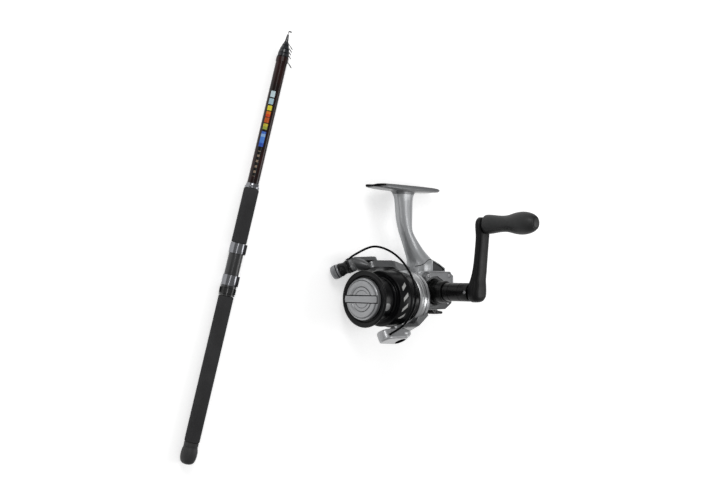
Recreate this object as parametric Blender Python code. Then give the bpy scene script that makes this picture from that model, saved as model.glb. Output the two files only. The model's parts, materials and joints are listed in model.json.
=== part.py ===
"""Telescopic fishing rod with a spinning reel lying beside it.

Units are metres, +Z is up, and both things lie on one flat surface.
The rod runs along +Y from the flat end of its butt cap, which is the origin.
The reel is modelled in its own frame: X forward along the spool, Y out to the crank handle
and Z up to the foot. One empty then lays that frame down beside the rod.
"""
import math

import bmesh
import bpy
from mathutils import Matrix, Vector

for old in list(bpy.data.objects):
    bpy.data.objects.remove(old, do_unlink=True)

# ---------------------------------------------------------------- clearances
SEAT_GAP = 0.0003
RUN_GAP = 0.0005
FINE_GAP = 0.0002
WELD = 0.000001

# ---------------------------------------------------------------- rod sizes
CAP_LENGTH = 0.0206
CAP_KNOB_RADIUS = 0.00765
CAP_NECK_RADIUS = 0.00675
CAP_FLAT_RADIUS = 0.0052
CAP_FLOOR = 0.0098
GRIP_RADIUS = 0.0071
LOWER_GRIP_LENGTH = 0.1373
NUT_LENGTH = 0.0094
NUT_RADIUS = 0.0078
HOOD_LENGTH = 0.0097
HOOD_RADIUS = 0.0075
HOOD_POCKET_REACH = 0.0085
SEAT_OPENING = 0.0206
SEAT_RADIUS = 0.00675
UPPER_GRIP_LENGTH = 0.0520
CHECK_LENGTH = 0.0046
CHECK_RADIUS = 0.0069
ROD_TUBE_LENGTH = 0.3775
ROD_TUBE_REAR_RADIUS = 0.00563
ROD_TAPER = 0.00028
ROD_WALL = 0.00055
SECTION_WALL = 0.00040
COLLAR_LENGTH = 0.0046
SECTION_OVERLAP = 0.0250
SECTION_STEPS = (0.0038, 0.0037, 0.0037, 0.0036)
TIP_STEP = 0.0066
TIP_END_RADIUS = 0.0006
GUIDE_SIDE_DEG = 41.0
GUIDE_REACH = 0.0060
GUIDE_LEAN_DEG = 45.0
GUIDE_RING_RADIUS = 0.0017
BUTT_GUIDE_RING_RADIUS = 0.0026
GUIDE_WIRE = 0.00030
GUIDE_SLEEVE_LENGTH = 0.0012
BUTT_GUIDE_LEG = 0.0036
GUIDE_SLEEVE_WALL = 0.00035
TIP_RING_RADIUS = 0.0017
TIP_RING_RISE = 0.0036

# ---------------------------------------------------------------- reel sizes
HANDLE_AXIS_HEIGHT = 0.0063
SHAFT_RADIUS = 0.00225
SHAFT_REAR = -0.0188
SHAFT_FRONT = 0.0940
DRIVE_SHAFT_RADIUS = 0.0034
BODY_HALF_WIDTH = 0.0200
COVER_THICKNESS = 0.0070
BODY_WALL = 0.0028
BODY_FRONT = 0.0180
BODY_REAR = -0.0305
BODY_LOW = -0.0127
BODY_HIGH = 0.0275
REAR_CAP_LENGTH = 0.0045
REAR_COVER_LIFT = 0.0080
REAR_COVER_DROP = 0.0045
REAR_COVER_CHAMFER = 0.0030
REAR_COVER_MARGIN = 0.0010
FRONT_DISC_RADIUS = 0.0240
FRONT_DISC_LENGTH = 0.0030
GUSSET_HEIGHT = 0.0408
GUSSET_REAR_HEIGHT = 0.0312
GUSSET_HALF_WIDTH = 0.0120
COVER_SCREW_RADIUS = 0.0018
SCREW_WELL_FLOOR = 0.0035
ANTI_REVERSE_HALF_WIDTH = 0.0035
LEVER_PIN_RADIUS = 0.0011
EAR_LENGTH = 0.0030
BOSS_RADIUS = 0.0130
BOSS_RECESS_RADIUS = 0.0140
BOSS_RECESS_DEPTH = 0.0030
BOSS_NECK_RADIUS = 0.0120
BOSS_FLANGE_END = 0.0215
BOSS_NECK_END = 0.0350
SLEEVE_RADIUS = 0.0097
SLEEVE_END = 0.0660
BEARING_WIDTH = 0.0040
BEARING_WALL = 0.0034
PINION_TUBE_RADIUS = 0.0039
PINION_TEETH = 7
PINION_TOOTH_HEIGHT = 0.0009
PINION_REAR = 0.0050
PINION_TOOTH_LENGTH = 0.0085
DRIVE_TEETH = 35
DRIVE_GEAR_RADIUS = 0.0112
DRIVE_GEAR_WIDTH = 0.0036
OSCILLATION_TEETH = 27
SMALL_GEAR_TEETH = 12
OSCILLATION_RADIUS = 0.0094
SMALL_GEAR_RADIUS = 0.0052
OSCILLATION_BEARING_DEG = 206.0
GEAR_WIDTH = 0.0030
CLUTCH_RADIUS = 0.0130
CLUTCH_LENGTH = 0.0042

ROTOR_REAR = 0.0200
ROTOR_PLATE_LENGTH = 0.0100
ROTOR_RIM_RADIUS = 0.0292
DRUM_RADIUS = 0.0260
DRUM_WALL = 0.0020
DRUM_FRONT = 0.0540
TRIM_REAR = 0.0303
TRIM_FRONT = 0.0340
TRIM_RADIUS = 0.0268
ROTOR_HUB_RADIUS = 0.0085
ROTOR_HUB_FRONT = 0.0440
ROTOR_NUT_RADIUS = 0.0070
ROTOR_NUT_LENGTH = 0.0045
ARM_TILT_DEG = 26.6
ARM_INNER = 0.0325
ARM_OUTER = 0.0402
ARM_HALF_WIDTH = 0.0080
ARM_NOSE_RADIUS = 0.0075
PIVOT_X = 0.0600
PIVOT_PIN_RADIUS = 0.0020
PIVOT_HEAD_RADIUS = 0.0046
BAIL_PLATE = 0.0040
BAIL_HUB_RADIUS = 0.0078
LOWER_ARM_OUTER = 0.0364
LEVER_HUB_RADIUS = 0.0090
LEVER_THICKNESS = 0.0110
LEVER_WELL_DEPTH = 0.0052
LEVER_TIP_X = 0.0885
BAIL_ARM_TIP_X = 0.0915
BAIL_WIRE_RADIUS = 0.0012
ROLLER_RADIUS = 0.0064
ROLLER_LENGTH = 0.0096
ROLLER_PIN_RADIUS = 0.0014
ROLLER_CAP_RADIUS = 0.0074
ROLLER_CAP_LENGTH = 0.0092
ROLLER_TILT_DEG = 28.0

LIP_FRONT = 0.0920
LIP_RADIUS = 0.0287
LIP_LENGTH = 0.0035
ARBOR_RADIUS = 0.0210
SKIRT_FRONT = 0.0670
SKIRT_REAR = 0.0490
SKIRT_RADIUS = 0.0286
SKIRT_EDGE_RADIUS = 0.0300
SKIRT_WALL = 0.0018
SPOOL_WEB = 0.0030
SPOOL_HUB_RADIUS = 0.0130
SPOOL_HUB_LENGTH = 0.0030
INSERT_LENGTH = 0.0075
INSERT_HALF_WIDTH = 0.0030
INSERT_X = 0.0785
INSERT_TURN_DEG = -22.0
DRAG_POCKET_RADIUS = 0.0165
DRAG_POCKET_FLOOR = 0.0800
DRAG_WASHER_COUNT = 2
DRAG_WASHER_THICKNESS = 0.0031
KNOB_RECESS_RADIUS = 0.0226
KNOB_RECESS_FLOOR = 0.0896
DRAG_KNOB_RADIUS = 0.0220
DRAG_KNOB_FRONT = 0.0952
DRAG_BAR_HEIGHT = 0.0066
DRAG_BAR_RISE = 0.0022

ARM_BOTTOM_Y = 0.0733
HANDLE_ARM_TOP_Y = 0.0803
HANDLE_ARM_WIDTH = 0.0195
HANDLE_ARM_THICKNESS = 0.0088
HANDLE_REACH = 0.0690
GRIP_KNOB_START = 0.0845
GRIP_KNOB_END = 0.1430
GRIP_KNOB_BASE_RADIUS = 0.0098
GRIP_KNOB_WAIST_RADIUS = 0.0082
GRIP_KNOB_BULGE_RADIUS = 0.0114
KNOB_SPINDLE_RADIUS = 0.0030

FOOT_FRONT = 0.0812
FOOT_REAR = -0.0260
FOOT_TOP = 0.1155
FOOT_HALF_WIDTH = 0.01044
FOOT_THICKNESS = 0.0045
FOOT_RIDGE = 0.0016
FOOT_FLOOR_HALF_WIDTH = 0.0045

# The reel's place beside the rod, and how it lies.
REEL_X = 0.2312
REEL_Y = 0.1994
REEL_Z = 0.0188
REEL_ROLL_DEG = 97.49
REEL_PITCH_DEG = -7.15
REEL_HEADING_DEG = -170.18


# ---------------------------------------------------------------- helpers
def make_material(name, colour, roughness, metallic):
    look = bpy.data.materials.new(name)
    look.use_nodes = True
    shader = look.node_tree.nodes["Principled BSDF"]
    shader.inputs["Base Color"].default_value = (*colour, 1.0)
    shader.inputs["Roughness"].default_value = roughness
    shader.inputs["Metallic"].default_value = metallic
    return look


FOAM = make_material("foam_black", (0.030, 0.030, 0.031), 0.85, 0.0)
RUBBER = make_material("rubber_black", (0.035, 0.035, 0.036), 0.75, 0.0)
BLACK = make_material("plastic_black", (0.020, 0.020, 0.022), 0.35, 0.0)
DARK = make_material("graphite_grey", (0.090, 0.092, 0.095), 0.40, 0.3)
LACQUER = make_material("lacquer_maroon", (0.035, 0.010, 0.008), 0.15, 0.0)
CHROME = make_material("chrome", (0.75, 0.75, 0.76), 0.12, 1.0)
SILVER = make_material("silver_paint", (0.48, 0.49, 0.50), 0.35, 0.6)
STEEL = make_material("steel", (0.55, 0.55, 0.56), 0.30, 1.0)
BRASS = make_material("brass", (0.60, 0.45, 0.20), 0.35, 1.0)
FELT = make_material("felt_fibre", (0.55, 0.50, 0.42), 0.90, 0.0)
NYLON = make_material("nylon_white", (0.80, 0.80, 0.78), 0.50, 0.0)


def make_empty(name, parent=None, at=(0.0, 0.0, 0.0), turn=None):
    holder = bpy.data.objects.new(name, None)
    bpy.context.scene.collection.objects.link(holder)
    holder.parent = parent
    holder.location = at
    if turn:
        holder.rotation_euler = turn
    return holder


def make_object(name, shape, look, parent, at, sharp_deg=35.0):
    mesh = bpy.data.meshes.new(name)
    bmesh.ops.recalc_face_normals(shape, faces=shape.faces)
    if shape.calc_volume(signed=True) < 0.0:
        bmesh.ops.reverse_faces(shape, faces=shape.faces)
    shape.to_mesh(mesh)
    shape.free()
    mesh.materials.append(look)
    mesh.shade_smooth()
    mesh.set_sharp_from_angle(angle=math.radians(sharp_deg))
    piece = bpy.data.objects.new(name, mesh)
    bpy.context.scene.collection.objects.link(piece)
    piece.parent = parent
    piece.location = at
    return piece


AXIS_TURNS = {
    "Z": Matrix.Identity(4),
    "X": Matrix.Rotation(math.radians(90.0), 4, "Y"),
    "Y": Matrix.Rotation(math.radians(-90.0), 4, "X"),
}


def turned(name, profile, look, parent=None, at=(0.0, 0.0, 0.0), axis="X", sides=32):
    """Solid of revolution from (along, radius) points; a profile off the axis closes on itself."""
    shape = bmesh.new()
    points = [shape.verts.new((radius, 0.0, along)) for along, radius in profile]
    links = list(zip(points, points[1:]))
    if profile[0][1] > 0.0:
        links.append((points[-1], points[0]))
    edges = [shape.edges.new(pair) for pair in links]
    bmesh.ops.spin(shape, geom=points + edges, axis=(0, 0, 1), cent=(0, 0, 0), dvec=(0, 0, 0),
                   angle=2.0 * math.pi, steps=sides, use_merge=True)
    bmesh.ops.remove_doubles(shape, verts=shape.verts, dist=WELD)
    bmesh.ops.transform(shape, matrix=AXIS_TURNS[axis], verts=shape.verts)
    return make_object(name, shape, look, parent, at)


def tube(name, start, end, inner, outer, look, parent=None, axis="X", sides=32, at=(0.0, 0.0, 0.0)):
    profile = [(start, outer), (end, outer), (end, inner), (start, inner)]
    return turned(name, profile, look, parent, at, axis, sides)


def rod_bar(name, start, end, radius, look, parent=None, axis="X", sides=16, at=(0.0, 0.0, 0.0)):
    profile = [(start, 0.0), (start, radius), (end, radius), (end, 0.0)]
    return turned(name, profile, look, parent, at, axis, sides)


SLAB_PLANES = {
    "XZ": lambda u, v, depth: (u, depth, v),
    "YZ": lambda u, v, depth: (depth, u, v),
    "XY": lambda u, v, depth: (u, v, depth),
}


def slab(name, outline, low, high, look, parent=None, plane="XZ", at=(0.0, 0.0, 0.0)):
    """Flat outline given thickness along the plane's normal."""
    place = SLAB_PLANES[plane]
    shape = bmesh.new()
    corners = [shape.verts.new(place(u, v, low)) for u, v in outline]
    base = shape.faces.new(corners)
    grown = bmesh.ops.extrude_face_region(shape, geom=[base])
    lifted = [item for item in grown["geom"] if isinstance(item, bmesh.types.BMVert)]
    bmesh.ops.translate(shape, vec=Vector(place(0.0, 0.0, high - low)), verts=lifted)
    return make_object(name, shape, look, parent, at)


def skinned(name, rings, look, parent=None, at=(0.0, 0.0, 0.0), sharp_deg=35.0):
    """Closed skin over a row of rings that have the same number of points."""
    shape = bmesh.new()
    rows = [[shape.verts.new(point) for point in ring] for ring in rings]
    for row, following in zip(rows, rows[1:]):
        for index in range(len(row)):
            after = (index + 1) % len(row)
            shape.faces.new((row[index], row[after], following[after], following[index]))
    shape.faces.new(rows[0])
    shape.faces.new(rows[-1])
    return make_object(name, shape, look, parent, at, sharp_deg)


def rounded_ring(centre, half_a, half_b, count=16, power=2.6, plane="XY"):
    """Ring of points between an ellipse and a rectangle, around a centre."""
    ring = []
    for index in range(count):
        angle = 2.0 * math.pi * (index + 0.5) / count
        cosine = math.cos(angle)
        sine = math.sin(angle)
        u = half_a * math.copysign(abs(cosine) ** (2.0 / power), cosine)
        v = half_b * math.copysign(abs(sine) ** (2.0 / power), sine)
        offset = Vector(SLAB_PLANES[plane](u, v, 0.0))
        ring.append(Vector(centre) + offset)
    return ring


def arc(centre_u, centre_v, radius, start_deg, end_deg, steps):
    angles = [math.radians(start_deg + (end_deg - start_deg) * step / steps) for step in range(steps + 1)]
    return [(centre_u + radius * math.cos(angle), centre_v + radius * math.sin(angle)) for angle in angles]


def link_outline(start, start_radius, end, end_radius, steps=8):
    """Outline of a flat link: two round ends and the straight sides between them."""
    run = Vector(end) - Vector(start)
    heading = math.degrees(math.atan2(run.y, run.x))
    lean = math.degrees(math.asin((start_radius - end_radius) / run.length))
    near = arc(start[0], start[1], start_radius, heading + 90.0 - lean, heading + 270.0 + lean, steps)
    far = arc(end[0], end[1], end_radius, heading - 90.0 + lean, heading + 90.0 - lean, steps)
    return near + far


def gear_outline(centre, root_radius, tip_radius, teeth, phase=0.0):
    """Outline of a spur gear with straight-sided teeth."""
    points = []
    pitch = 2.0 * math.pi / teeth
    for tooth in range(teeth):
        for share, radius in ((0.05, root_radius), (0.30, tip_radius), (0.55, tip_radius),
                              (0.80, root_radius)):
            angle = (tooth + share + phase) * pitch
            points.append((centre[0] + radius * math.cos(angle), centre[1] + radius * math.sin(angle)))
    return points


def hide_tool(tool):
    tool.hide_render = True
    tool.display_type = "WIRE"


def combine(target, tool, operation, solver="EXACT"):
    """Boolean with a tool object that stays hidden in the file."""
    step = target.modifiers.new(tool.name, "BOOLEAN")
    step.operation = operation
    step.solver = solver
    step.object = tool
    hide_tool(tool)
    return target


def strut(name, start, end, radius, look, parent=None, sides=8):
    """Round bar between two points."""
    run = Vector(end) - Vector(start)
    shape = bmesh.new()
    bmesh.ops.create_cone(shape, cap_ends=True, segments=sides, radius1=radius, radius2=radius,
                          depth=run.length)
    turn = Vector((0.0, 0.0, 1.0)).rotation_difference(run).to_matrix().to_4x4()
    middle = 0.5 * (Vector(start) + Vector(end))
    bmesh.ops.transform(shape, matrix=Matrix.Translation(middle) @ turn, verts=shape.verts)
    return make_object(name, shape, look, parent, (0.0, 0.0, 0.0))


def box_outline(low_u, high_u, low_v, high_v):
    return [(low_u, low_v), (high_u, low_v), (high_u, high_v), (low_u, high_v)]


# ---------------------------------------------------------------- the rod
def side_point(reach, along):
    """Point beside the rod's axis, on the side that carries the guides."""
    angle = math.radians(GUIDE_SIDE_DEG)
    return (reach * math.cos(angle), along, reach * math.sin(angle))


def build_butt(parent):
    grip_start = CAP_LENGTH + SEAT_GAP
    bore = ROD_TUBE_REAR_RADIUS + SEAT_GAP
    knob_place = 0.5 * CAP_LENGTH
    cap = [(0.0, 0.0), (0.0, CAP_FLAT_RADIUS), (0.0015, CAP_FLAT_RADIUS + 0.0013),
           (0.6 * knob_place, CAP_KNOB_RADIUS - 0.0003), (knob_place, CAP_KNOB_RADIUS),
           (1.35 * knob_place, CAP_KNOB_RADIUS - 0.0004), (1.5 * knob_place, CAP_NECK_RADIUS),
           (CAP_LENGTH, CAP_NECK_RADIUS), (CAP_LENGTH, bore), (CAP_FLOOR, bore), (CAP_FLOOR, 0.0)]
    turned("butt_cap", cap, BLACK, parent, axis="Y", sides=24)
    tube_start = CAP_FLOOR + SEAT_GAP
    tube_end = tube_start + ROD_TUBE_LENGTH
    front = ROD_TUBE_REAR_RADIUS - ROD_TAPER
    section = [(tube_start, ROD_TUBE_REAR_RADIUS), (tube_end, front), (tube_end, front - ROD_WALL),
               (tube_start, ROD_TUBE_REAR_RADIUS - ROD_WALL)]
    turned("butt_section", section, LACQUER, parent, axis="Y", sides=28)
    return grip_start, bore, tube_start, tube_end


def build_grip(name, start, length, bore, parent):
    edge = 0.0006
    end = start + length
    profile = [(start, GRIP_RADIUS - edge), (start + edge, GRIP_RADIUS), (end - edge, GRIP_RADIUS),
               (end, GRIP_RADIUS - edge), (end, bore), (start, bore)]
    turned(name, profile, FOAM, parent, axis="Y", sides=28)
    return end


def build_hood(name, along, mouth, parent):
    """Hood ring with a pocket for the end of a reel's foot; mouth is the pocket's open end, 1 or -1."""
    bore = SEAT_RADIUS + SEAT_GAP
    wall = HOOD_RADIUS - bore
    place = (0.0, along, 0.0)
    pocket_radius = 0.6 * HOOD_RADIUS
    shift_x, _, shift_z = side_point(HOOD_POCKET_REACH - pocket_radius, 0.0)
    outline = link_outline((0.0, 0.0), HOOD_RADIUS, (shift_x, shift_z), pocket_radius, 12)
    hood = slab(name, outline, 0.0, HOOD_LENGTH, CHROME, parent, "XZ", place)
    clear = rod_bar(name + "_bore_tool", -wall, HOOD_LENGTH + wall, bore, CHROME, parent, "Y", 28, place)
    combine(hood, clear, "DIFFERENCE")
    side = (shift_x, along, shift_z)
    room = rod_bar(name + "_room_tool", mouth * 2.0 * wall, HOOD_LENGTH + mouth * 2.0 * wall,
                   pocket_radius - wall, CHROME, parent, "Y", 20, side)
    combine(hood, room, "DIFFERENCE")
    return hood


def build_reel_seat(parent, start, bore):
    nut_start = start + SEAT_GAP
    hood_start = nut_start + NUT_LENGTH + SEAT_GAP
    fixed_start = hood_start + HOOD_LENGTH + SEAT_OPENING
    seat_end = fixed_start + HOOD_LENGTH
    tube("reel_seat_barrel", start + SEAT_GAP, seat_end, bore, SEAT_RADIUS, BLACK, parent, "Y", 28)
    build_hood("fixed_hood", fixed_start, -1, parent)
    carriage = make_empty("hood_carriage", parent, (0.0, hood_start, 0.0))
    build_hood("sliding_hood", 0.0, 1, carriage)
    rim = 0.0008
    thread = SEAT_RADIUS + SEAT_GAP
    nut = [(0.0, NUT_RADIUS - rim), (rim, NUT_RADIUS), (NUT_LENGTH - rim, NUT_RADIUS),
           (NUT_LENGTH, NUT_RADIUS - rim), (NUT_LENGTH, thread), (0.0, thread)]
    turned("lock_nut", nut, BLACK, carriage, (0.0, nut_start - hood_start, 0.0), "Y", 28)
    return seat_end


def build_guide(name, front, radius, parent, frame_along, ring_radius=GUIDE_RING_RADIUS,
                length=GUIDE_SLEEVE_LENGTH, leg_back=0.5 * GUIDE_SLEEVE_LENGTH):
    """Sleeve on a section's front end, with a ring on a leg that leans back and out beside it."""
    bore = radius + FINE_GAP
    skirt = bore + GUIDE_SLEEVE_WALL
    sleeve_end = front - FINE_GAP - frame_along
    foot_along = sleeve_end - leg_back
    sleeve = tube(name, sleeve_end - length, sleeve_end, bore, skirt, BLACK, parent, "Y", 16)
    lean = math.radians(GUIDE_LEAN_DEG)
    reach = max(GUIDE_REACH, skirt + ring_radius)
    foot_radius = bore + 0.5 * GUIDE_SLEEVE_WALL
    out = Vector(side_point(1.0, 0.0))
    along = Vector((0.0, 1.0, 0.0))
    leg_direction = (out * math.cos(lean) - along * math.sin(lean)).normalized()
    centre = out * reach + along * (foot_along - (reach - foot_radius) * math.tan(lean))
    ring = tube(name + "_ring_tool", -GUIDE_WIRE, GUIDE_WIRE, ring_radius - 2.0 * GUIDE_WIRE, ring_radius,
                BLACK, parent, "Y", 12, centre)
    ring_axis = out.cross(along).cross(leg_direction)
    ring.rotation_euler = along.rotation_difference(ring_axis).to_euler()
    foot = out * foot_radius + along * foot_along
    leg_end = centre - leg_direction * (ring_radius - GUIDE_WIRE)
    leg = strut(name + "_leg_tool", foot, leg_end, GUIDE_WIRE, BLACK, parent, 6)
    combine(sleeve, ring, "UNION")
    combine(sleeve, leg, "UNION")
    return sleeve


def build_tip_top(parent, length):
    """Sleeve on the rod's tip with its line ring across the end."""
    start = length - TIP_STEP
    bore = 2.0 * TIP_END_RADIUS + FINE_GAP
    profile = [(length + FINE_GAP, 0.0), (length + FINE_GAP, TIP_END_RADIUS + FINE_GAP),
               (start + FINE_GAP, bore), (start + FINE_GAP, bore + GUIDE_SLEEVE_WALL),
               (length + 2.0 * GUIDE_WIRE, TIP_END_RADIUS + GUIDE_SLEEVE_WALL),
               (length + 2.0 * GUIDE_WIRE, 0.0)]
    cap = turned("tip_top", profile, BLACK, parent, axis="Y", sides=16)
    ring_along = length + TIP_RING_RISE
    ring_place = side_point(TIP_RING_RADIUS - GUIDE_WIRE, ring_along)
    ring = tube("tip_ring_tool", -GUIDE_WIRE, GUIDE_WIRE, TIP_RING_RADIUS - 2.0 * GUIDE_WIRE,
                TIP_RING_RADIUS, BLACK, parent, "Y", 14, ring_place)
    post = strut("tip_post_tool", (0.0, length + GUIDE_WIRE, 0.0), (0.0, ring_along, 0.0), GUIDE_WIRE,
                 BLACK, parent)
    combine(cap, post, "UNION")
    combine(cap, ring, "UNION")


def build_sections(parent, tube_start, tube_end):
    """Nested tapered sections; each one slides out of the one before it."""
    bore = ROD_TUBE_REAR_RADIUS - ROD_TAPER - ROD_WALL
    holder = parent
    front = tube_end
    frame = 0.0
    for number, step in enumerate(SECTION_STEPS, start=2):
        rear_radius = bore - FINE_GAP
        front_radius = rear_radius - ROD_TAPER
        front += step
        carriage = make_empty(f"section_{number}_carriage", holder, (0.0, tube_start - frame, 0.0))
        frame = tube_start
        length = front - tube_start
        profile = [(0.0, rear_radius), (length, front_radius), (length, front_radius - SECTION_WALL),
                   (0.0, rear_radius - SECTION_WALL)]
        turned(f"section_{number}", profile, BLACK, carriage, axis="Y", sides=24)
        build_guide(f"guide_{number}", front, front_radius, carriage, frame)
        bore = front_radius - SECTION_WALL
        holder = carriage
    carriage = make_empty("tip_carriage", holder)
    length = front + TIP_STEP - tube_start
    rear_radius = bore - FINE_GAP
    profile = [(0.0, 0.0), (0.0, rear_radius), (length - TIP_STEP, 2.0 * TIP_END_RADIUS),
               (length, TIP_END_RADIUS), (length, 0.0)]
    turned("tip_section", profile, BLACK, carriage, axis="Y", sides=20)
    build_tip_top(carriage, length)


def build_rod():
    rod = make_empty("rod")
    grip_start, bore, tube_start, tube_end = build_butt(rod)
    lower_end = build_grip("lower_grip", grip_start, LOWER_GRIP_LENGTH, bore, rod)
    seat_end = build_reel_seat(rod, lower_end, bore)
    upper_end = build_grip("upper_grip", seat_end + SEAT_GAP, UPPER_GRIP_LENGTH, bore, rod)
    check_start = upper_end + SEAT_GAP
    check_end = check_start + CHECK_LENGTH
    waist = GRIP_RADIUS - 0.0010
    check = [(check_start, GRIP_RADIUS - 0.0004), (check_start + 0.3 * CHECK_LENGTH, CHECK_RADIUS),
             (check_start + 0.6 * CHECK_LENGTH, waist), (check_end, waist - 0.0002), (check_end, bore),
             (check_start, bore)]
    turned("winding_check", check, CHROME, rod, axis="Y", sides=28)
    front_radius = ROD_TUBE_REAR_RADIUS - ROD_TAPER
    build_guide("butt_guide", tube_end, front_radius, rod, 0.0, BUTT_GUIDE_RING_RADIUS, COLLAR_LENGTH,
                BUTT_GUIDE_LEG)
    build_sections(rod, tube_start, tube_end)
    return rod


# ---------------------------------------------------------------- the reel's body
CRANK_PLACE = (0.0, 0.0, HANDLE_AXIS_HEIGHT)
COVER_PLANE = BODY_HALF_WIDTH - COVER_THICKNESS
BEARING_SEAT = DRIVE_SHAFT_RADIUS + SEAT_GAP + BEARING_WALL + SEAT_GAP
PINION_SEAT = PINION_TUBE_RADIUS + SEAT_GAP + BEARING_WALL + SEAT_GAP
PINION_TIP_RADIUS = PINION_TUBE_RADIUS + PINION_TOOTH_HEIGHT
GEAR_LEVEL = -0.5 * BODY_HALF_WIDTH
DRIVE_GEAR_FACE = PINION_TIP_RADIUS + RUN_GAP
OSCILLATION_DISTANCE = OSCILLATION_RADIUS + SMALL_GEAR_RADIUS + RUN_GAP
OSCILLATION_X = OSCILLATION_DISTANCE * math.cos(math.radians(OSCILLATION_BEARING_DEG))
OSCILLATION_Z = HANDLE_AXIS_HEIGHT + OSCILLATION_DISTANCE * math.sin(math.radians(OSCILLATION_BEARING_DEG))
SLIDER_FACE = -0.0045
TOOTH_DEPTH = 0.0009
STUD_RADIUS = 0.0015
LEVER_PIVOT = (-0.0210, -0.0162)
LEVER_TIP = (-0.0340, -0.0172)
COVER_SCREWS = ((-0.0255, 0.0235), (0.0105, 0.0235), (-0.0235, -0.0060))


def casing_outline(front, inset=0.0):
    """Side view of the gear casing, from its lower front corner round the back."""
    rear = BODY_REAR + inset
    low = BODY_LOW + inset
    return [(front - inset, low + 0.0022), (front - 0.0022 - inset, low), (rear + 0.0110, low),
            (rear, low + 0.0060), (rear, BODY_HIGH - 0.0030), (rear + 0.0020, BODY_HIGH),
            (front - 0.0040, BODY_HIGH), (front, BODY_HIGH - 0.0050)]


def build_stem(parent):
    """Leg between the casing and the foot: height, front edge, rear edge and half width."""
    stations = ((BODY_HIGH - 0.0035, 0.0160, -0.0160, 0.0122), (0.0340, 0.0150, -0.0148, 0.0124),
                (0.0400, 0.0158, -0.0132, 0.0112), (0.0477, 0.0205, -0.0037, 0.0090),
                (0.0540, 0.0241, 0.0030, 0.0078), (0.0645, 0.0297, 0.0133, 0.0069),
                (0.0718, 0.0333, 0.0175, 0.0066), (0.0834, 0.0373, 0.0171, 0.0065),
                (0.1020, 0.0398, 0.0162, 0.0067), (FOOT_TOP - 0.0060, 0.0429, 0.0137, 0.0079),
                (FOOT_TOP - 0.0030, 0.0480, 0.0090, 0.0088))
    rings = []
    for height, front, rear, half_width in smooth_route(stations, 3):
        centre = (0.5 * (front + rear), 0.0, height)
        rings.append(rounded_ring(centre, 0.5 * (front - rear), half_width, 24))
    return skinned("stem_tool", rings, SILVER, parent)


def build_foot(parent):
    """Foot that clamps in the rod's seat: a tapered plate with a flat channel along its top."""
    centre = 0.5 * (FOOT_FRONT + FOOT_REAR)
    half_length = 0.5 * (FOOT_FRONT - FOOT_REAR)
    rings = []
    for share in (-1.0, -0.97, -0.92, -0.84, -0.70, -0.40, 0.0, 0.40, 0.70, 0.84, 0.92, 0.97, 1.0):
        taper = math.sqrt(max(0.0, 1.0 - abs(share) ** 5)) if abs(share) < 1.0 else 0.0
        half_width = FOOT_HALF_WIDTH * (0.62 + 0.38 * taper)
        thickness = FOOT_THICKNESS * (0.45 + 0.55 * taper * (1.0 - 0.4 * abs(share)))
        floor_half = FOOT_FLOOR_HALF_WIDTH * half_width / FOOT_HALF_WIDTH
        ridge = FOOT_TOP + FOOT_RIDGE * taper
        top = FOOT_TOP
        low = FOOT_TOP - thickness
        half = [(0.75 * half_width, low), (half_width, low + 0.35 * thickness), (half_width, ridge),
                (0.86 * half_width, ridge), (floor_half, top)]
        mirrored = [(-y, z) for y, z in reversed(half)]
        x = centre + share * half_length
        rings.append([(x, y, z) for y, z in half + mirrored])
    return skinned("foot_tool", rings, SILVER, parent)


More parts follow.
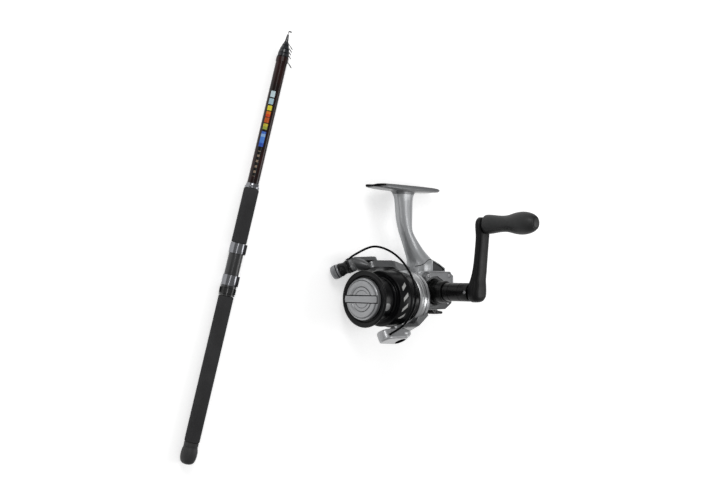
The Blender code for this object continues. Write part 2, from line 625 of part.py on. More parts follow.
def build_casing(parent):
    """One casting: gear casing, stem and foot, open towards the side cover."""
    front = BODY_FRONT - FRONT_DISC_LENGTH
    low = -BODY_HALF_WIDTH + SEAT_GAP
    outline = casing_outline(front)
    body = slab("reel_body", outline, low, COVER_PLANE - SEAT_GAP, SILVER, parent)
    rounding = body.modifiers.new("rounding", "BEVEL")
    rounding.width = 0.0012
    rounding.segments = 1
    rounding.limit_method = "ANGLE"
    disc = rod_bar("front_disc_tool", front - SEAT_GAP, BODY_FRONT, FRONT_DISC_RADIUS, SILVER, parent,
                   sides=36)
    combine(body, disc, "UNION")
    combine(body, build_stem(parent), "UNION")
    combine(body, build_foot(parent), "UNION")
    gusset_rear = BODY_REAR + 0.0012
    gusset = [(gusset_rear, BODY_HIGH - 0.0010), (-0.0050, BODY_HIGH - 0.0010), (-0.0050, GUSSET_HEIGHT),
              (0.6 * gusset_rear, GUSSET_HEIGHT - 0.0043), (gusset_rear, GUSSET_REAR_HEIGHT)]
    web = slab("gusset_tool", gusset, -GUSSET_HALF_WIDTH, GUSSET_HALF_WIDTH, SILVER, parent)
    combine(body, web, "UNION")
    rear = BODY_REAR + BODY_WALL
    floor = BODY_LOW + 0.85 * BODY_WALL
    ceiling = BODY_HIGH - 0.0075
    room = [(front - BODY_WALL, floor), (rear + 0.0080, floor), (rear, floor + 0.0053), (rear, ceiling),
            (front - BODY_WALL, ceiling)]
    cavity = slab("cavity_tool", room, low + BODY_WALL, BODY_HALF_WIDTH, SILVER, parent)
    combine(body, cavity, "DIFFERENCE")
    seat = rod_bar("pinion_seat_tool", front - 2.0 * BODY_WALL, BODY_FRONT + BODY_WALL, PINION_SEAT,
                   SILVER, parent, sides=24)
    combine(body, seat, "DIFFERENCE")
    side_seat = rod_bar("side_seat_tool", low - BODY_WALL, low + 2.0 * BODY_WALL, BEARING_SEAT, SILVER,
                        parent, "Y", 24, CRANK_PLACE)
    combine(body, side_seat, "DIFFERENCE")
    lever_room = ANTI_REVERSE_HALF_WIDTH + RUN_GAP
    for side in (-1.0, 1.0):
        inner = side * lever_room
        outer = side * (lever_room + EAR_LENGTH)
        outline = link_outline(LEVER_PIVOT, 0.0024, (LEVER_PIVOT[0] + 0.0040, BODY_LOW + 0.0010), 0.0022, 5)
        ear = slab(f"ear_tool_{int(side)}", outline, min(inner, outer), max(inner, outer), SILVER, parent)
        combine(body, ear, "UNION")
    place = (OSCILLATION_X, 0.0, OSCILLATION_Z)
    shoulder = GEAR_LEVEL - SEAT_GAP
    stud_start = low + 0.5 * BODY_WALL
    stud_profile = [(stud_start, 0.0), (stud_start, 2.0 * STUD_RADIUS), (shoulder, 2.0 * STUD_RADIUS),
                    (shoulder, STUD_RADIUS), (GEAR_LEVEL + GEAR_WIDTH, STUD_RADIUS),
                    (GEAR_LEVEL + GEAR_WIDTH, 0.0)]
    stud = turned("stud_tool", stud_profile, SILVER, parent, place, "Y", 12)
    combine(body, stud, "UNION")
    hole_end = lever_room + 2.0 * EAR_LENGTH
    pivot = (LEVER_PIVOT[0], 0.0, LEVER_PIVOT[1])
    hole = rod_bar("lever_hole_tool", -hole_end, hole_end, LEVER_PIN_RADIUS + FINE_GAP, SILVER, parent, "Y",
                   12, pivot)
    combine(body, hole, "DIFFERENCE")
    return body


def build_covers(parent):
    front = BODY_FRONT - FRONT_DISC_LENGTH - SEAT_GAP
    cover = slab("side_cover", casing_outline(front), COVER_PLANE, BODY_HALF_WIDTH, SILVER, parent)
    rounding = cover.modifiers.new("rounding", "BEVEL")
    rounding.width = 0.0010
    rounding.segments = 1
    rounding.limit_method = "ANGLE"
    hole_radius = BOSS_RADIUS + SEAT_GAP
    step = BODY_HALF_WIDTH - BOSS_RECESS_DEPTH
    hole_low = COVER_PLANE - BODY_WALL
    hole_high = BODY_HALF_WIDTH + BODY_WALL
    hole_profile = [(hole_low, 0.0), (hole_low, hole_radius), (step, hole_radius),
                    (step, BOSS_RECESS_RADIUS), (hole_high, BOSS_RECESS_RADIUS), (hole_high, 0.0)]
    hole = turned("boss_hole_tool", hole_profile, SILVER, parent, CRANK_PLACE, "Y", 32)
    combine(cover, hole, "DIFFERENCE")
    for index, (x, z) in enumerate(COVER_SCREWS):
        well = rod_bar(f"screw_well_tool_{index}", COVER_PLANE + SCREW_WELL_FLOOR, hole_high,
                       COVER_SCREW_RADIUS + SEAT_GAP, SILVER, parent, "Y", 12, (x, 0.0, z))
        combine(cover, well, "DIFFERENCE")
    neck_bore = DRIVE_SHAFT_RADIUS + SEAT_GAP
    boss = [(COVER_PLANE, BOSS_RADIUS), (BOSS_FLANGE_END - 0.0010, BOSS_RADIUS),
            (BOSS_FLANGE_END, BOSS_RADIUS - 0.0010), (BOSS_FLANGE_END, BOSS_NECK_RADIUS),
            (BOSS_NECK_END - 0.0006, BOSS_NECK_RADIUS), (BOSS_NECK_END, BOSS_NECK_RADIUS - 0.0006),
            (BOSS_NECK_END, neck_bore), (COVER_PLANE + BEARING_WIDTH + SEAT_GAP, neck_bore),
            (COVER_PLANE + BEARING_WIDTH + SEAT_GAP, BEARING_SEAT), (COVER_PLANE, BEARING_SEAT)]
    turned("handle_boss", boss, BLACK, parent, CRANK_PLACE, "Y", 32)
    gap_x = BODY_REAR - SEAT_GAP
    half = BODY_HALF_WIDTH - REAR_COVER_MARGIN
    low = BODY_LOW + REAR_COVER_LIFT
    shoulder = BODY_HIGH - REAR_COVER_DROP
    top = BODY_HIGH - 0.45 * REAR_COVER_DROP
    inner = half - REAR_COVER_CHAMFER
    rear = [(-half, low), (half, low), (half, shoulder), (inner, top), (-inner, top), (-half, shoulder)]
    cap = slab("rear_cover", rear, gap_x - REAR_CAP_LENGTH, gap_x, DARK, parent, "YZ")
    rounding = cap.modifiers.new("rounding", "BEVEL")
    rounding.width = 0.0016
    rounding.segments = 2
    rounding.limit_method = "ANGLE"


def screw_profile(start, end, radius):
    """Round screw with a sunk driver socket in its outer end."""
    depth = 0.35 * (end - start)
    socket = 0.5 * radius
    return [(start, 0.0), (start, radius), (end - 0.2 * radius, radius), (end, 0.8 * radius), (end, socket),
            (end - depth, socket), (end - depth, 0.0)]


def build_casing_fittings(parent):
    """Screws, bearings, clutch and the anti-reverse lever that the casing carries."""
    screw_start = COVER_PLANE + SCREW_WELL_FLOOR + SEAT_GAP
    profile = screw_profile(screw_start, BODY_HALF_WIDTH - SEAT_GAP, COVER_SCREW_RADIUS)
    for number, (x, z) in enumerate(COVER_SCREWS, start=1):
        turned(f"cover_screw_{number}", profile, STEEL, parent, (x, 0.0, z), "Y", 12)
    inner = DRIVE_SHAFT_RADIUS + SEAT_GAP
    outer = inner + BEARING_WALL
    low = -BODY_HALF_WIDTH + SEAT_GAP
    tube("left_bearing", low, low + BEARING_WIDTH, inner, outer, STEEL, parent, "Y", 20, CRANK_PLACE)
    tube("right_bearing", COVER_PLANE, COVER_PLANE + BEARING_WIDTH, inner, outer, STEEL, parent, "Y", 20,
         CRANK_PLACE)
    bearing_end = BODY_FRONT
    tube("pinion_bearing", bearing_end - BEARING_WIDTH, bearing_end, PINION_TUBE_RADIUS + SEAT_GAP,
         PINION_SEAT - SEAT_GAP, STEEL, parent, "X", 24)
    clutch_start = BODY_FRONT + SEAT_GAP
    clutch = [(clutch_start, CLUTCH_RADIUS), (clutch_start + CLUTCH_LENGTH, CLUTCH_RADIUS),
              (clutch_start + CLUTCH_LENGTH, PINION_TUBE_RADIUS + SEAT_GAP),
              (clutch_start, PINION_TUBE_RADIUS + SEAT_GAP)]
    turned("one_way_clutch", clutch, STEEL, parent, axis="X", sides=28)
    hinge = make_empty("anti_reverse_hinge", parent, (LEVER_PIVOT[0], 0.0, LEVER_PIVOT[1]))
    tip = (LEVER_TIP[0] - LEVER_PIVOT[0], LEVER_TIP[1] - LEVER_PIVOT[1])
    outline = link_outline((0.0, 0.0), 0.0023, tip, 0.0013, 5)
    half = ANTI_REVERSE_HALF_WIDTH
    lever = slab("anti_reverse_lever", outline, -half, half, BLACK, hinge)
    ear_end = ANTI_REVERSE_HALF_WIDTH + RUN_GAP + EAR_LENGTH
    pin = rod_bar("lever_pin_tool", -ear_end, ear_end, LEVER_PIN_RADIUS, BLACK, hinge, "Y", 12)
    combine(lever, pin, "UNION")


# ---------------------------------------------------------------- gears and the crank

def spur_gear(name, tip_radius, teeth, low, high, bore, look, parent):
    """Spur gear about the parent's Y axis."""
    outline = gear_outline((0.0, 0.0), tip_radius - TOOTH_DEPTH, tip_radius, teeth)
    gear = slab(name, outline, low, high, look, parent, "XZ")
    hole = rod_bar(name + "_bore_tool", low - BODY_WALL, high + BODY_WALL, bore, look, parent, "Y", 20)
    combine(gear, hole, "DIFFERENCE")
    return gear


def build_oscillation(parent):
    """Gear that works the spool's slider, on a stud in the casing's far wall."""
    place = (OSCILLATION_X, 0.0, OSCILLATION_Z)
    spindle = make_empty("oscillation_spindle", parent, place)
    gear = spur_gear("oscillation_gear", OSCILLATION_RADIUS, OSCILLATION_TEETH, GEAR_LEVEL,
                     GEAR_LEVEL + GEAR_WIDTH, STUD_RADIUS + SEAT_GAP, NYLON, spindle)
    pin = rod_bar("oscillation_pin_tool", GEAR_LEVEL + 0.5 * GEAR_WIDTH, SLIDER_FACE - SEAT_GAP, 0.0012,
                  NYLON, spindle, "Y", 10, (0.0, 0.0, 0.6 * OSCILLATION_RADIUS))
    combine(gear, pin, "UNION")


def build_crank(parent):
    """Everything that turns with the handle, about the crank's Y axis."""
    crank = make_empty("crank", parent, CRANK_PLACE)
    low = -BODY_HALF_WIDTH + SEAT_GAP
    shaft_end = SLEEVE_END - 0.0040
    shaft = rod_bar("drive_shaft", low, shaft_end, DRIVE_SHAFT_RADIUS, STEEL, crank, "Y", 20)
    teeth = gear_outline((0.0, 0.0), SMALL_GEAR_RADIUS - TOOTH_DEPTH, SMALL_GEAR_RADIUS, SMALL_GEAR_TEETH)
    small_gear = slab("small_gear_tool", teeth, GEAR_LEVEL, GEAR_LEVEL + GEAR_WIDTH, STEEL, crank)
    combine(shaft, small_gear, "UNION")
    gear_bore = DRIVE_SHAFT_RADIUS + SEAT_GAP
    spur_gear("drive_gear", DRIVE_GEAR_RADIUS, DRIVE_TEETH, DRIVE_GEAR_FACE,
              DRIVE_GEAR_FACE + DRIVE_GEAR_WIDTH, gear_bore, BRASS, crank)
    cap_end = low - SEAT_GAP
    cap = [(cap_end - 0.0030, 0.0), (cap_end - 0.0030, BEARING_SEAT - 0.0012),
           (cap_end - 0.0020, BEARING_SEAT), (cap_end, BEARING_SEAT), (cap_end, 0.0)]
    turned("handle_cap", cap, BLACK, crank, axis="Y", sides=24)
    build_handle(crank, shaft_end, gear_bore)


def build_handle(crank, shaft_end, bore):
    """Sleeve, cranked arm and grip knob."""
    start = BOSS_NECK_END + SEAT_GAP
    rim = 0.0006
    floor = shaft_end + SEAT_GAP
    profile = [(floor, 0.0), (floor, bore), (start, bore), (start, SLEEVE_RADIUS - rim),
               (start + rim, SLEEVE_RADIUS), (SLEEVE_END - rim, SLEEVE_RADIUS),
               (SLEEVE_END, SLEEVE_RADIUS - rim), (SLEEVE_END, 0.0)]
    sleeve = turned("handle_sleeve", profile, BLACK, crank, axis="Y", sides=32)
    screw_radius = 0.0016
    screw_y = shaft_end + 0.0020
    hole = rod_bar("handle_screw_hole_tool", 0.6 * SLEEVE_RADIUS, 2.0 * SLEEVE_RADIUS,
                   screw_radius + SEAT_GAP, BLACK, crank, "X", 12, (0.0, screw_y, 0.0))
    combine(sleeve, hole, "DIFFERENCE")
    screw = screw_profile(0.6 * SLEEVE_RADIUS + SEAT_GAP, SLEEVE_RADIUS, screw_radius)
    turned("handle_screw", screw, STEEL, crank, (0.0, screw_y, 0.0), "X", 12)
    build_handle_arm(crank)
    build_grip_knob(crank)


def build_handle_arm(crank):
    """Cranked arm: shares of its reach and of its sideways swing, half width and half thickness."""
    half = 0.5 * HANDLE_ARM_WIDTH
    thick = 0.5 * HANDLE_ARM_THICKNESS
    low_y = ARM_BOTTOM_Y
    top_y = HANDLE_ARM_TOP_Y
    hub = low_y - SLEEVE_END - SEAT_GAP
    lift = top_y - low_y
    stations = ((-0.148, -0.14, 0.42 * half, 0.45 * hub), (-0.123, -0.09, 0.86 * half, 0.80 * hub),
                (-0.065, 0.00, 1.14 * half, 0.97 * hub), (0.000, 0.00, 1.24 * half, hub),
                (0.087, 0.04, 1.18 * half, hub), (0.188, 0.21, 1.08 * half, 0.80 * hub),
                (0.290, 0.43, 1.02 * half, 1.15 * thick), (0.435, 0.63, half, thick),
                (0.696, 0.89, 0.96 * half, thick), (0.826, 1.00, 0.98 * half, thick),
                (0.928, 1.00, 1.06 * half, thick), (1.000, 1.00, 1.08 * half, thick),
                (1.065, 1.00, 0.90 * half, 0.95 * thick), (1.106, 1.00, 0.48 * half, 0.75 * thick))
    rings = []
    for climb, swing, half_width, half_thick in smooth_route(stations, 2):
        centre = (0.0, low_y + swing * lift, climb * HANDLE_REACH)
        rings.append(rounded_ring(centre, half_width, half_thick, 20))
    return skinned("handle_arm", rings, BLACK, crank, sharp_deg=50.0)


def build_grip_knob(crank):
    holder = make_empty("knob_axis", crank, (0.0, 0.0, HANDLE_REACH))
    arm_face = HANDLE_ARM_TOP_Y + 0.5 * HANDLE_ARM_THICKNESS + SEAT_GAP
    spindle_end = GRIP_KNOB_END - 0.0060
    rod_bar("knob_spindle", arm_face, spindle_end, KNOB_SPINDLE_RADIUS, STEEL, crank, "Y", 16,
            (0.0, 0.0, HANDLE_REACH))
    start = arm_face
    run = GRIP_KNOB_END - start
    bore = KNOB_SPINDLE_RADIUS + SEAT_GAP
    cap_radius = 0.0056
    cap_floor = GRIP_KNOB_END - 0.0036
    base = GRIP_KNOB_BASE_RADIUS
    slim = GRIP_KNOB_WAIST_RADIUS
    full = GRIP_KNOB_BULGE_RADIUS
    outline = [(start, base - 0.0008), (start + 0.02 * run, base), (start + 0.14 * run, base - 0.0003),
               (start + 0.27 * run, slim + 0.0004), (start + 0.38 * run, slim),
               (start + 0.50 * run, slim + 0.0007), (start + 0.62 * run, full - 0.0008),
               (start + 0.75 * run, full), (start + 0.88 * run, full - 0.0011),
               (start + 0.97 * run, full - 0.0034), (GRIP_KNOB_END, cap_radius + SEAT_GAP + 0.0006)]
    inside = [(GRIP_KNOB_END, cap_radius + SEAT_GAP), (cap_floor, cap_radius + SEAT_GAP), (cap_floor, bore),
              (start, bore)]
    turned("handle_knob", outline + inside, RUBBER, holder, axis="Y", sides=24)
    cap = [(cap_floor + SEAT_GAP, 0.0), (cap_floor + SEAT_GAP, cap_radius), (GRIP_KNOB_END, cap_radius),
           (GRIP_KNOB_END + 0.0006, 0.7 * cap_radius), (GRIP_KNOB_END + 0.0008, 0.0)]
    turned("knob_cap", cap, BLACK, holder, axis="Y", sides=20)


# ---------------------------------------------------------------- the rotor and the bail
def arm_side_outline(outer):
    """Rotor arm seen from the side: X along the spool, height from its axis."""
    rise = ROTOR_REAR + 0.0110
    nose = PIVOT_X + ARM_NOSE_RADIUS
    return [(ROTOR_REAR + 0.0004, 0.0200), (ROTOR_REAR + 0.0004, ROTOR_RIM_RADIUS - 0.0012),
            (rise, outer - 0.0010), (rise + 0.0035, outer), (nose, outer), (nose, ARM_INNER),
            (ROTOR_REAR + 0.0160, ARM_INNER), (TRIM_REAR - SEAT_GAP, TRIM_RADIUS + RUN_GAP),
            (ROTOR_REAR + 0.0068, 0.0200)]


def arm_plan_outline():
    """Rotor arm seen from outside: wide at the plate, round at the bail's pivot."""
    root = 2.1 * ARM_HALF_WIDTH
    nose = arc(PIVOT_X, 0.0, ARM_HALF_WIDTH, -90.0, 90.0, 10)
    shoulder = ROTOR_REAR + 0.0125
    return [(ROTOR_REAR, -root), (shoulder, -ARM_HALF_WIDTH)] + nose + [(shoulder, ARM_HALF_WIDTH),
                                                                       (ROTOR_REAR, root)]


def build_rotor(parent):
    rotor_axis = make_empty("rotor_axis", parent, turn=(math.radians(ARM_TILT_DEG), 0.0, 0.0))
    plate_front = ROTOR_REAR + ROTOR_PLATE_LENGTH
    inside = ROTOR_RIM_RADIUS - 0.0035
    floor_rear = ROTOR_REAR + 0.0040
    bore = PINION_TUBE_RADIUS + SEAT_GAP
    rim = ROTOR_RIM_RADIUS
    profile = [(ROTOR_REAR, rim - 0.0008), (ROTOR_REAR + 0.0008, rim), (ROTOR_REAR + 0.0024, rim),
               (plate_front - 0.0020, rim - 0.0007), (plate_front, rim - 0.0017), (plate_front, DRUM_RADIUS),
               (DRUM_FRONT, DRUM_RADIUS), (DRUM_FRONT, DRUM_RADIUS - DRUM_WALL),
               (plate_front + 0.0030, DRUM_RADIUS - DRUM_WALL),
               (plate_front + 0.0030, ROTOR_HUB_RADIUS), (ROTOR_HUB_FRONT, ROTOR_HUB_RADIUS),
               (ROTOR_HUB_FRONT, bore), (floor_rear, bore), (floor_rear, inside), (ROTOR_REAR, inside)]
    rotor = turned("rotor", profile, DARK, rotor_axis, axis="X", sides=36)
    beyond = ARM_OUTER + 0.01
    plan = slab("arm_plan_tool", arm_plan_outline(), -beyond, beyond, DARK, rotor_axis, "XY")
    for side, outer in ((1.0, ARM_OUTER), (-1.0, LOWER_ARM_OUTER)):
        outline = [(x, side * z) for x, z in arm_side_outline(outer)]
        reach = 2.2 * ARM_HALF_WIDTH
        arm = slab(f"arm_tool_{int(side)}", outline, -reach, reach, DARK, rotor_axis)
        combine(arm, plan, "INTERSECT")
        combine(rotor, arm, "UNION")
    pivot = rod_bar("pivot_hole_tool", -beyond, beyond, PIVOT_PIN_RADIUS + SEAT_GAP, DARK, rotor_axis, "Z",
                    16, (PIVOT_X, 0.0, 0.0))
    combine(rotor, pivot, "DIFFERENCE")
    tube("rotor_trim_ring", TRIM_REAR, TRIM_FRONT, DRUM_RADIUS + SEAT_GAP, TRIM_RADIUS, BLACK, rotor_axis,
         "X", 40)
    build_pinion(rotor_axis)
    nut_bore = (PINION_TUBE_RADIUS + SEAT_GAP) / math.cos(math.radians(30.0))
    nut_start = ROTOR_HUB_FRONT + SEAT_GAP
    tube("rotor_nut", nut_start, nut_start + ROTOR_NUT_LENGTH, nut_bore, ROTOR_NUT_RADIUS, STEEL, rotor_axis,
         "X", 6)
    return rotor_axis


def build_pinion(rotor_axis):
    """Pinion teeth and the hollow tube that carries the rotor round the spool's shaft."""
    tooth_end = PINION_REAR + PINION_TOOTH_LENGTH
    tube_end = ROTOR_HUB_FRONT + SEAT_GAP + ROTOR_NUT_LENGTH
    outline = gear_outline((0.0, 0.0), PINION_TIP_RADIUS - TOOTH_DEPTH, PINION_TIP_RADIUS, PINION_TEETH)
    pinion = slab("pinion_gear", outline, PINION_REAR, tooth_end, BRASS, rotor_axis, "YZ")
    barrel = rod_bar("pinion_tube_tool", tooth_end - SEAT_GAP, tube_end, PINION_TUBE_RADIUS, BRASS,
                     rotor_axis, "X", 20)
    combine(pinion, barrel, "UNION")
    bore = rod_bar("pinion_bore_tool", 0.0, tube_end + BODY_WALL, SHAFT_RADIUS + SEAT_GAP, BRASS, rotor_axis,
                   "X", 20)
    combine(pinion, bore, "DIFFERENCE")


BAIL_ROUTE = ((0.0315, 0.0025, 0.0432), (0.0295, 0.0100, 0.0465), (0.0215, 0.0300, 0.0440),
              (0.0130, 0.0440, 0.0265), (0.0090, 0.0490, 0.0000), (0.0115, 0.0430, -0.0250),
              (0.0185, 0.0270, -0.0400), (0.0255, 0.0100, -0.0436))


def smooth_route(points, per_span):
    """Points read from a smooth curve through the route's own points."""
    route = [Vector(point) for point in points]
    ends = [route[0] * 2.0 - route[1]] + route + [route[-1] * 2.0 - route[-2]]
    result = []
    for index in range(1, len(ends) - 2):
        before, here, after, beyond = ends[index - 1:index + 3]
        for step in range(per_span):
            share = step / per_span
            pull = (after - before) * share
            bend = (before * 2.0 - here * 5.0 + after * 4.0 - beyond) * share ** 2
            twist = (here * 3.0 - before - after * 3.0 + beyond) * share ** 3
            result.append(here + 0.5 * (pull + bend + twist))
    result.append(route[-1])
    return result


def wire(name, points, radius, look, parent, sides=8):
    """Round wire along a row of points, with closed ends."""
    rings = []
    side = Vector((1.0, 0.0, 0.0))
    for index, point in enumerate(points):
        before = points[max(index - 1, 0)]
        after = points[min(index + 1, len(points) - 1)]
        heading = (after - before).normalized()
        side = (side - heading * side.dot(heading)).normalized()
        across = heading.cross(side)
        angles = [2.0 * math.pi * step / sides for step in range(sides)]
        rings.append([point + radius * (side * math.cos(angle) + across * math.sin(angle))
                      for angle in angles])
    return skinned(name, rings, look, parent)


def build_bail(rotor_axis):
    """Bail in its hinge's frame: X forward, Y round the spool, Z along the hinge's axis."""
    hinge = make_empty("bail_hinge", rotor_axis, (PIVOT_X, 0.0, 0.0))
    plate_low = ARM_OUTER + SEAT_GAP
    plate_high = plate_low + BAIL_PLATE
    bore_radius = PIVOT_PIN_RADIUS + SEAT_GAP
    tip_x = BAIL_ARM_TIP_X - PIVOT_X
    outline = link_outline((0.0, 0.0), BAIL_HUB_RADIUS, (tip_x, 0.0), 0.75 * BAIL_HUB_RADIUS, 8)
    arm = slab("bail_arm", outline, plate_low, plate_high, DARK, hinge, "XY")
    bore = rod_bar("bail_bore_tool", -0.06, 0.06, bore_radius, DARK, hinge, "Z", 16)
    combine(arm, bore, "DIFFERENCE")
    roller_height = plate_low - ROLLER_RADIUS + 0.0030
    turn = math.radians(ROLLER_TILT_DEG)
    seat = make_empty("roller_seat", hinge, (tip_x + 0.0020, 0.0, roller_height), (0.0, 0.0, turn))
    hole = ROLLER_PIN_RADIUS + FINE_GAP
    bracket_radius = ROLLER_RADIUS + 0.0008
    bracket_profile = [(0.0030, 0.0), (0.0030, hole), (-0.0012, hole), (-0.0012, bracket_radius),
                       (0.0045, bracket_radius), (0.0045, 0.0)]
    bracket = turned("bracket_tool", bracket_profile, DARK, seat, axis="Y", sides=20)
    combine(arm, bracket, "UNION")
    notch = rod_bar("roller_notch_tool", -0.0200, -0.0010, ROLLER_RADIUS + RUN_GAP, DARK, seat, "Y", 20)
    combine(arm, notch, "DIFFERENCE")
    roller_end = -0.0012 - SEAT_GAP
    roller_start = roller_end - ROLLER_LENGTH
    spin = make_empty("roller_axis", seat)
    pin_bore = ROLLER_PIN_RADIUS + FINE_GAP
    waist = ROLLER_RADIUS - 0.0012
    roller = [(roller_start, ROLLER_RADIUS), (roller_start + 0.0022, ROLLER_RADIUS - 0.0003),
              (roller_start + 0.0040, waist), (roller_end - 0.0022, waist + 0.0003),
              (roller_end, ROLLER_RADIUS), (roller_end, pin_bore), (roller_start, pin_bore)]
    turned("line_roller", roller, BLACK, spin, axis="Y", sides=20)
    cap_end = roller_start - SEAT_GAP
    cap_start = cap_end - ROLLER_CAP_LENGTH
    pin_end = 0.0030 - SEAT_GAP
    screw = [(cap_start, 0.0), (cap_start, 0.5 * ROLLER_CAP_RADIUS),
             (cap_start + 0.0012, 0.85 * ROLLER_CAP_RADIUS),
             (cap_start + 0.0030, ROLLER_CAP_RADIUS), (cap_end - 0.0012, ROLLER_CAP_RADIUS),
             (cap_end, ROLLER_CAP_RADIUS - 0.0012), (cap_end, ROLLER_PIN_RADIUS),
             (pin_end, ROLLER_PIN_RADIUS),
             (pin_end, 0.0)]
    turned("roller_screw", screw, SILVER, seat, axis="Y", sides=20)
    lever = build_bail_lever(hinge, bore_radius)
    route = smooth_route(BAIL_ROUTE, 5)
    wire("bail_wire", route, BAIL_WIRE_RADIUS, BLACK, hinge)
    first = route[0] + SEAT_GAP * (route[0] - route[1]).normalized()
    last = route[-1] + SEAT_GAP * (route[-1] - route[-2]).normalized()
    longer = [first] + route[1:-1] + [last]
    socket = wire("wire_socket_tool", longer, BAIL_WIRE_RADIUS + SEAT_GAP, BLACK, hinge)
    combine(arm, socket, "DIFFERENCE", "MANIFOLD")
    combine(lever, socket, "DIFFERENCE")
    return hinge


def build_bail_lever(hinge, bore_radius):
    """Lever that carries the wire's other end, outside the lower rotor arm."""
    tip_x = LEVER_TIP_X - PIVOT_X
    plate_low = LOWER_ARM_OUTER + SEAT_GAP
    low = -plate_low - LEVER_THICKNESS
    nose = 0.85 * LEVER_HUB_RADIUS
    outline = link_outline((0.0, 0.0), LEVER_HUB_RADIUS, (tip_x - 0.6 * nose, 0.4 * nose), nose, 10)
    lever = slab("bail_lever", outline, low, -plate_low, SILVER, hinge, "XY")
    rounding = lever.modifiers.new("rounding", "BEVEL")
    rounding.width = 0.0016
    rounding.segments = 2
    rounding.limit_method = "ANGLE"
    rounding.angle_limit = math.radians(60.0)
    bore = rod_bar("lever_pivot_tool", -0.06, 0.0, bore_radius, SILVER, hinge, "Z", 16)
    combine(lever, bore, "DIFFERENCE")
    well = rod_bar("lever_well_tool", low - 0.0100, low + LEVER_WELL_DEPTH, PIVOT_HEAD_RADIUS + SEAT_GAP,
                   SILVER, hinge, "Z", 20)
    combine(lever, well, "DIFFERENCE")
    return lever


def build_pivot_screws(rotor_axis):
    """Two slotted screws that the bail turns on; they stay with the rotor's arms."""
    place = (PIVOT_X, 0.0, 0.0)
    top = ARM_OUTER + SEAT_GAP + BAIL_PLATE + SEAT_GAP
    head = 0.0016
    upper = [(ARM_INNER, 0.0), (ARM_INNER, PIVOT_PIN_RADIUS), (top, PIVOT_PIN_RADIUS),
             (top, PIVOT_HEAD_RADIUS), (top + head - 0.0004, PIVOT_HEAD_RADIUS),
             (top + head, PIVOT_HEAD_RADIUS - 0.0004), (top + head, 0.0)]
    upper_screw = turned("upper_pivot_screw", upper, STEEL, rotor_axis, place, "Z", 16)
    floor = LOWER_ARM_OUTER + SEAT_GAP + LEVER_THICKNESS - LEVER_WELL_DEPTH + SEAT_GAP
    lower = [(-floor - head, 0.0), (-floor - head, PIVOT_HEAD_RADIUS), (-floor, PIVOT_HEAD_RADIUS),
             (-floor, PIVOT_PIN_RADIUS), (-ARM_INNER, PIVOT_PIN_RADIUS), (-ARM_INNER, 0.0)]
    lower_screw = turned("lower_pivot_screw", lower, STEEL, rotor_axis, place, "Z", 16)
    depth = 0.0006
    reach = 2.0 * PIVOT_HEAD_RADIUS
    outline = box_outline(PIVOT_X - reach, PIVOT_X + reach, -depth, depth)
    for screw, outer in ((upper_screw, top + head), (lower_screw, -floor - head)):
        slot = slab(screw.name + "_slot_tool", outline, outer - depth, outer + depth, STEEL, rotor_axis, "XY")
        combine(screw, slot, "DIFFERENCE")


# ---------------------------------------------------------------- the spool
def build_spool(parent):
    """Main shaft, slider, spool and drag, which all ride along the spool's X axis."""
    stroke = make_empty("spool_carriage", parent)
    rod_bar("main_shaft", SHAFT_REAR, SHAFT_FRONT, SHAFT_RADIUS, STEEL, stroke, "X", 16)
    build_slider(stroke)
    hub_rear = SKIRT_FRONT - SPOOL_WEB - SPOOL_HUB_LENGTH
    bore = SHAFT_RADIUS + SEAT_GAP
    spin = make_empty("spool_axis", stroke)
    skirt_inner = SKIRT_RADIUS - SKIRT_WALL
    web_rear = SKIRT_FRONT - SPOOL_WEB
    lip_rear = LIP_FRONT - LIP_LENGTH
    profile = [(hub_rear, bore), (hub_rear, SPOOL_HUB_RADIUS), (web_rear, SPOOL_HUB_RADIUS),
               (web_rear, skirt_inner), (SKIRT_REAR, skirt_inner), (SKIRT_REAR, SKIRT_EDGE_RADIUS),
               (SKIRT_REAR + 0.0020, SKIRT_EDGE_RADIUS), (SKIRT_REAR + 0.0035, SKIRT_RADIUS),
               (SKIRT_FRONT - 0.0010, SKIRT_RADIUS), (SKIRT_FRONT, SKIRT_RADIUS - 0.0008),
               (SKIRT_FRONT, ARBOR_RADIUS), (lip_rear, ARBOR_RADIUS), (lip_rear, LIP_RADIUS - 0.0012),
               (lip_rear + 0.0010, LIP_RADIUS), (LIP_FRONT - 0.0012, LIP_RADIUS),
               (LIP_FRONT, LIP_RADIUS - 0.0015), (LIP_FRONT - 0.0012, KNOB_RECESS_RADIUS + 0.0008),
               (KNOB_RECESS_FLOOR, KNOB_RECESS_RADIUS), (KNOB_RECESS_FLOOR, DRAG_POCKET_RADIUS),
               (DRAG_POCKET_FLOOR, DRAG_POCKET_RADIUS), (DRAG_POCKET_FLOOR, bore)]
    spool = turned("spool", profile, BLACK, spin, axis="X", sides=40)
    build_insert(spool, spin)
    washer_bore = SHAFT_RADIUS + SEAT_GAP
    washer_outer = DRAG_POCKET_RADIUS - SEAT_GAP
    pitch = DRAG_WASHER_THICKNESS + SEAT_GAP
    for index in range(DRAG_WASHER_COUNT):
        start = DRAG_POCKET_FLOOR + SEAT_GAP + index * pitch
        tube(f"drag_washer_{index + 1}", start, start + DRAG_WASHER_THICKNESS, washer_bore, washer_outer,
             FELT, spin, "X", 24)
    build_drag_knob(stroke, DRAG_POCKET_FLOOR + SEAT_GAP + DRAG_WASHER_COUNT * pitch)


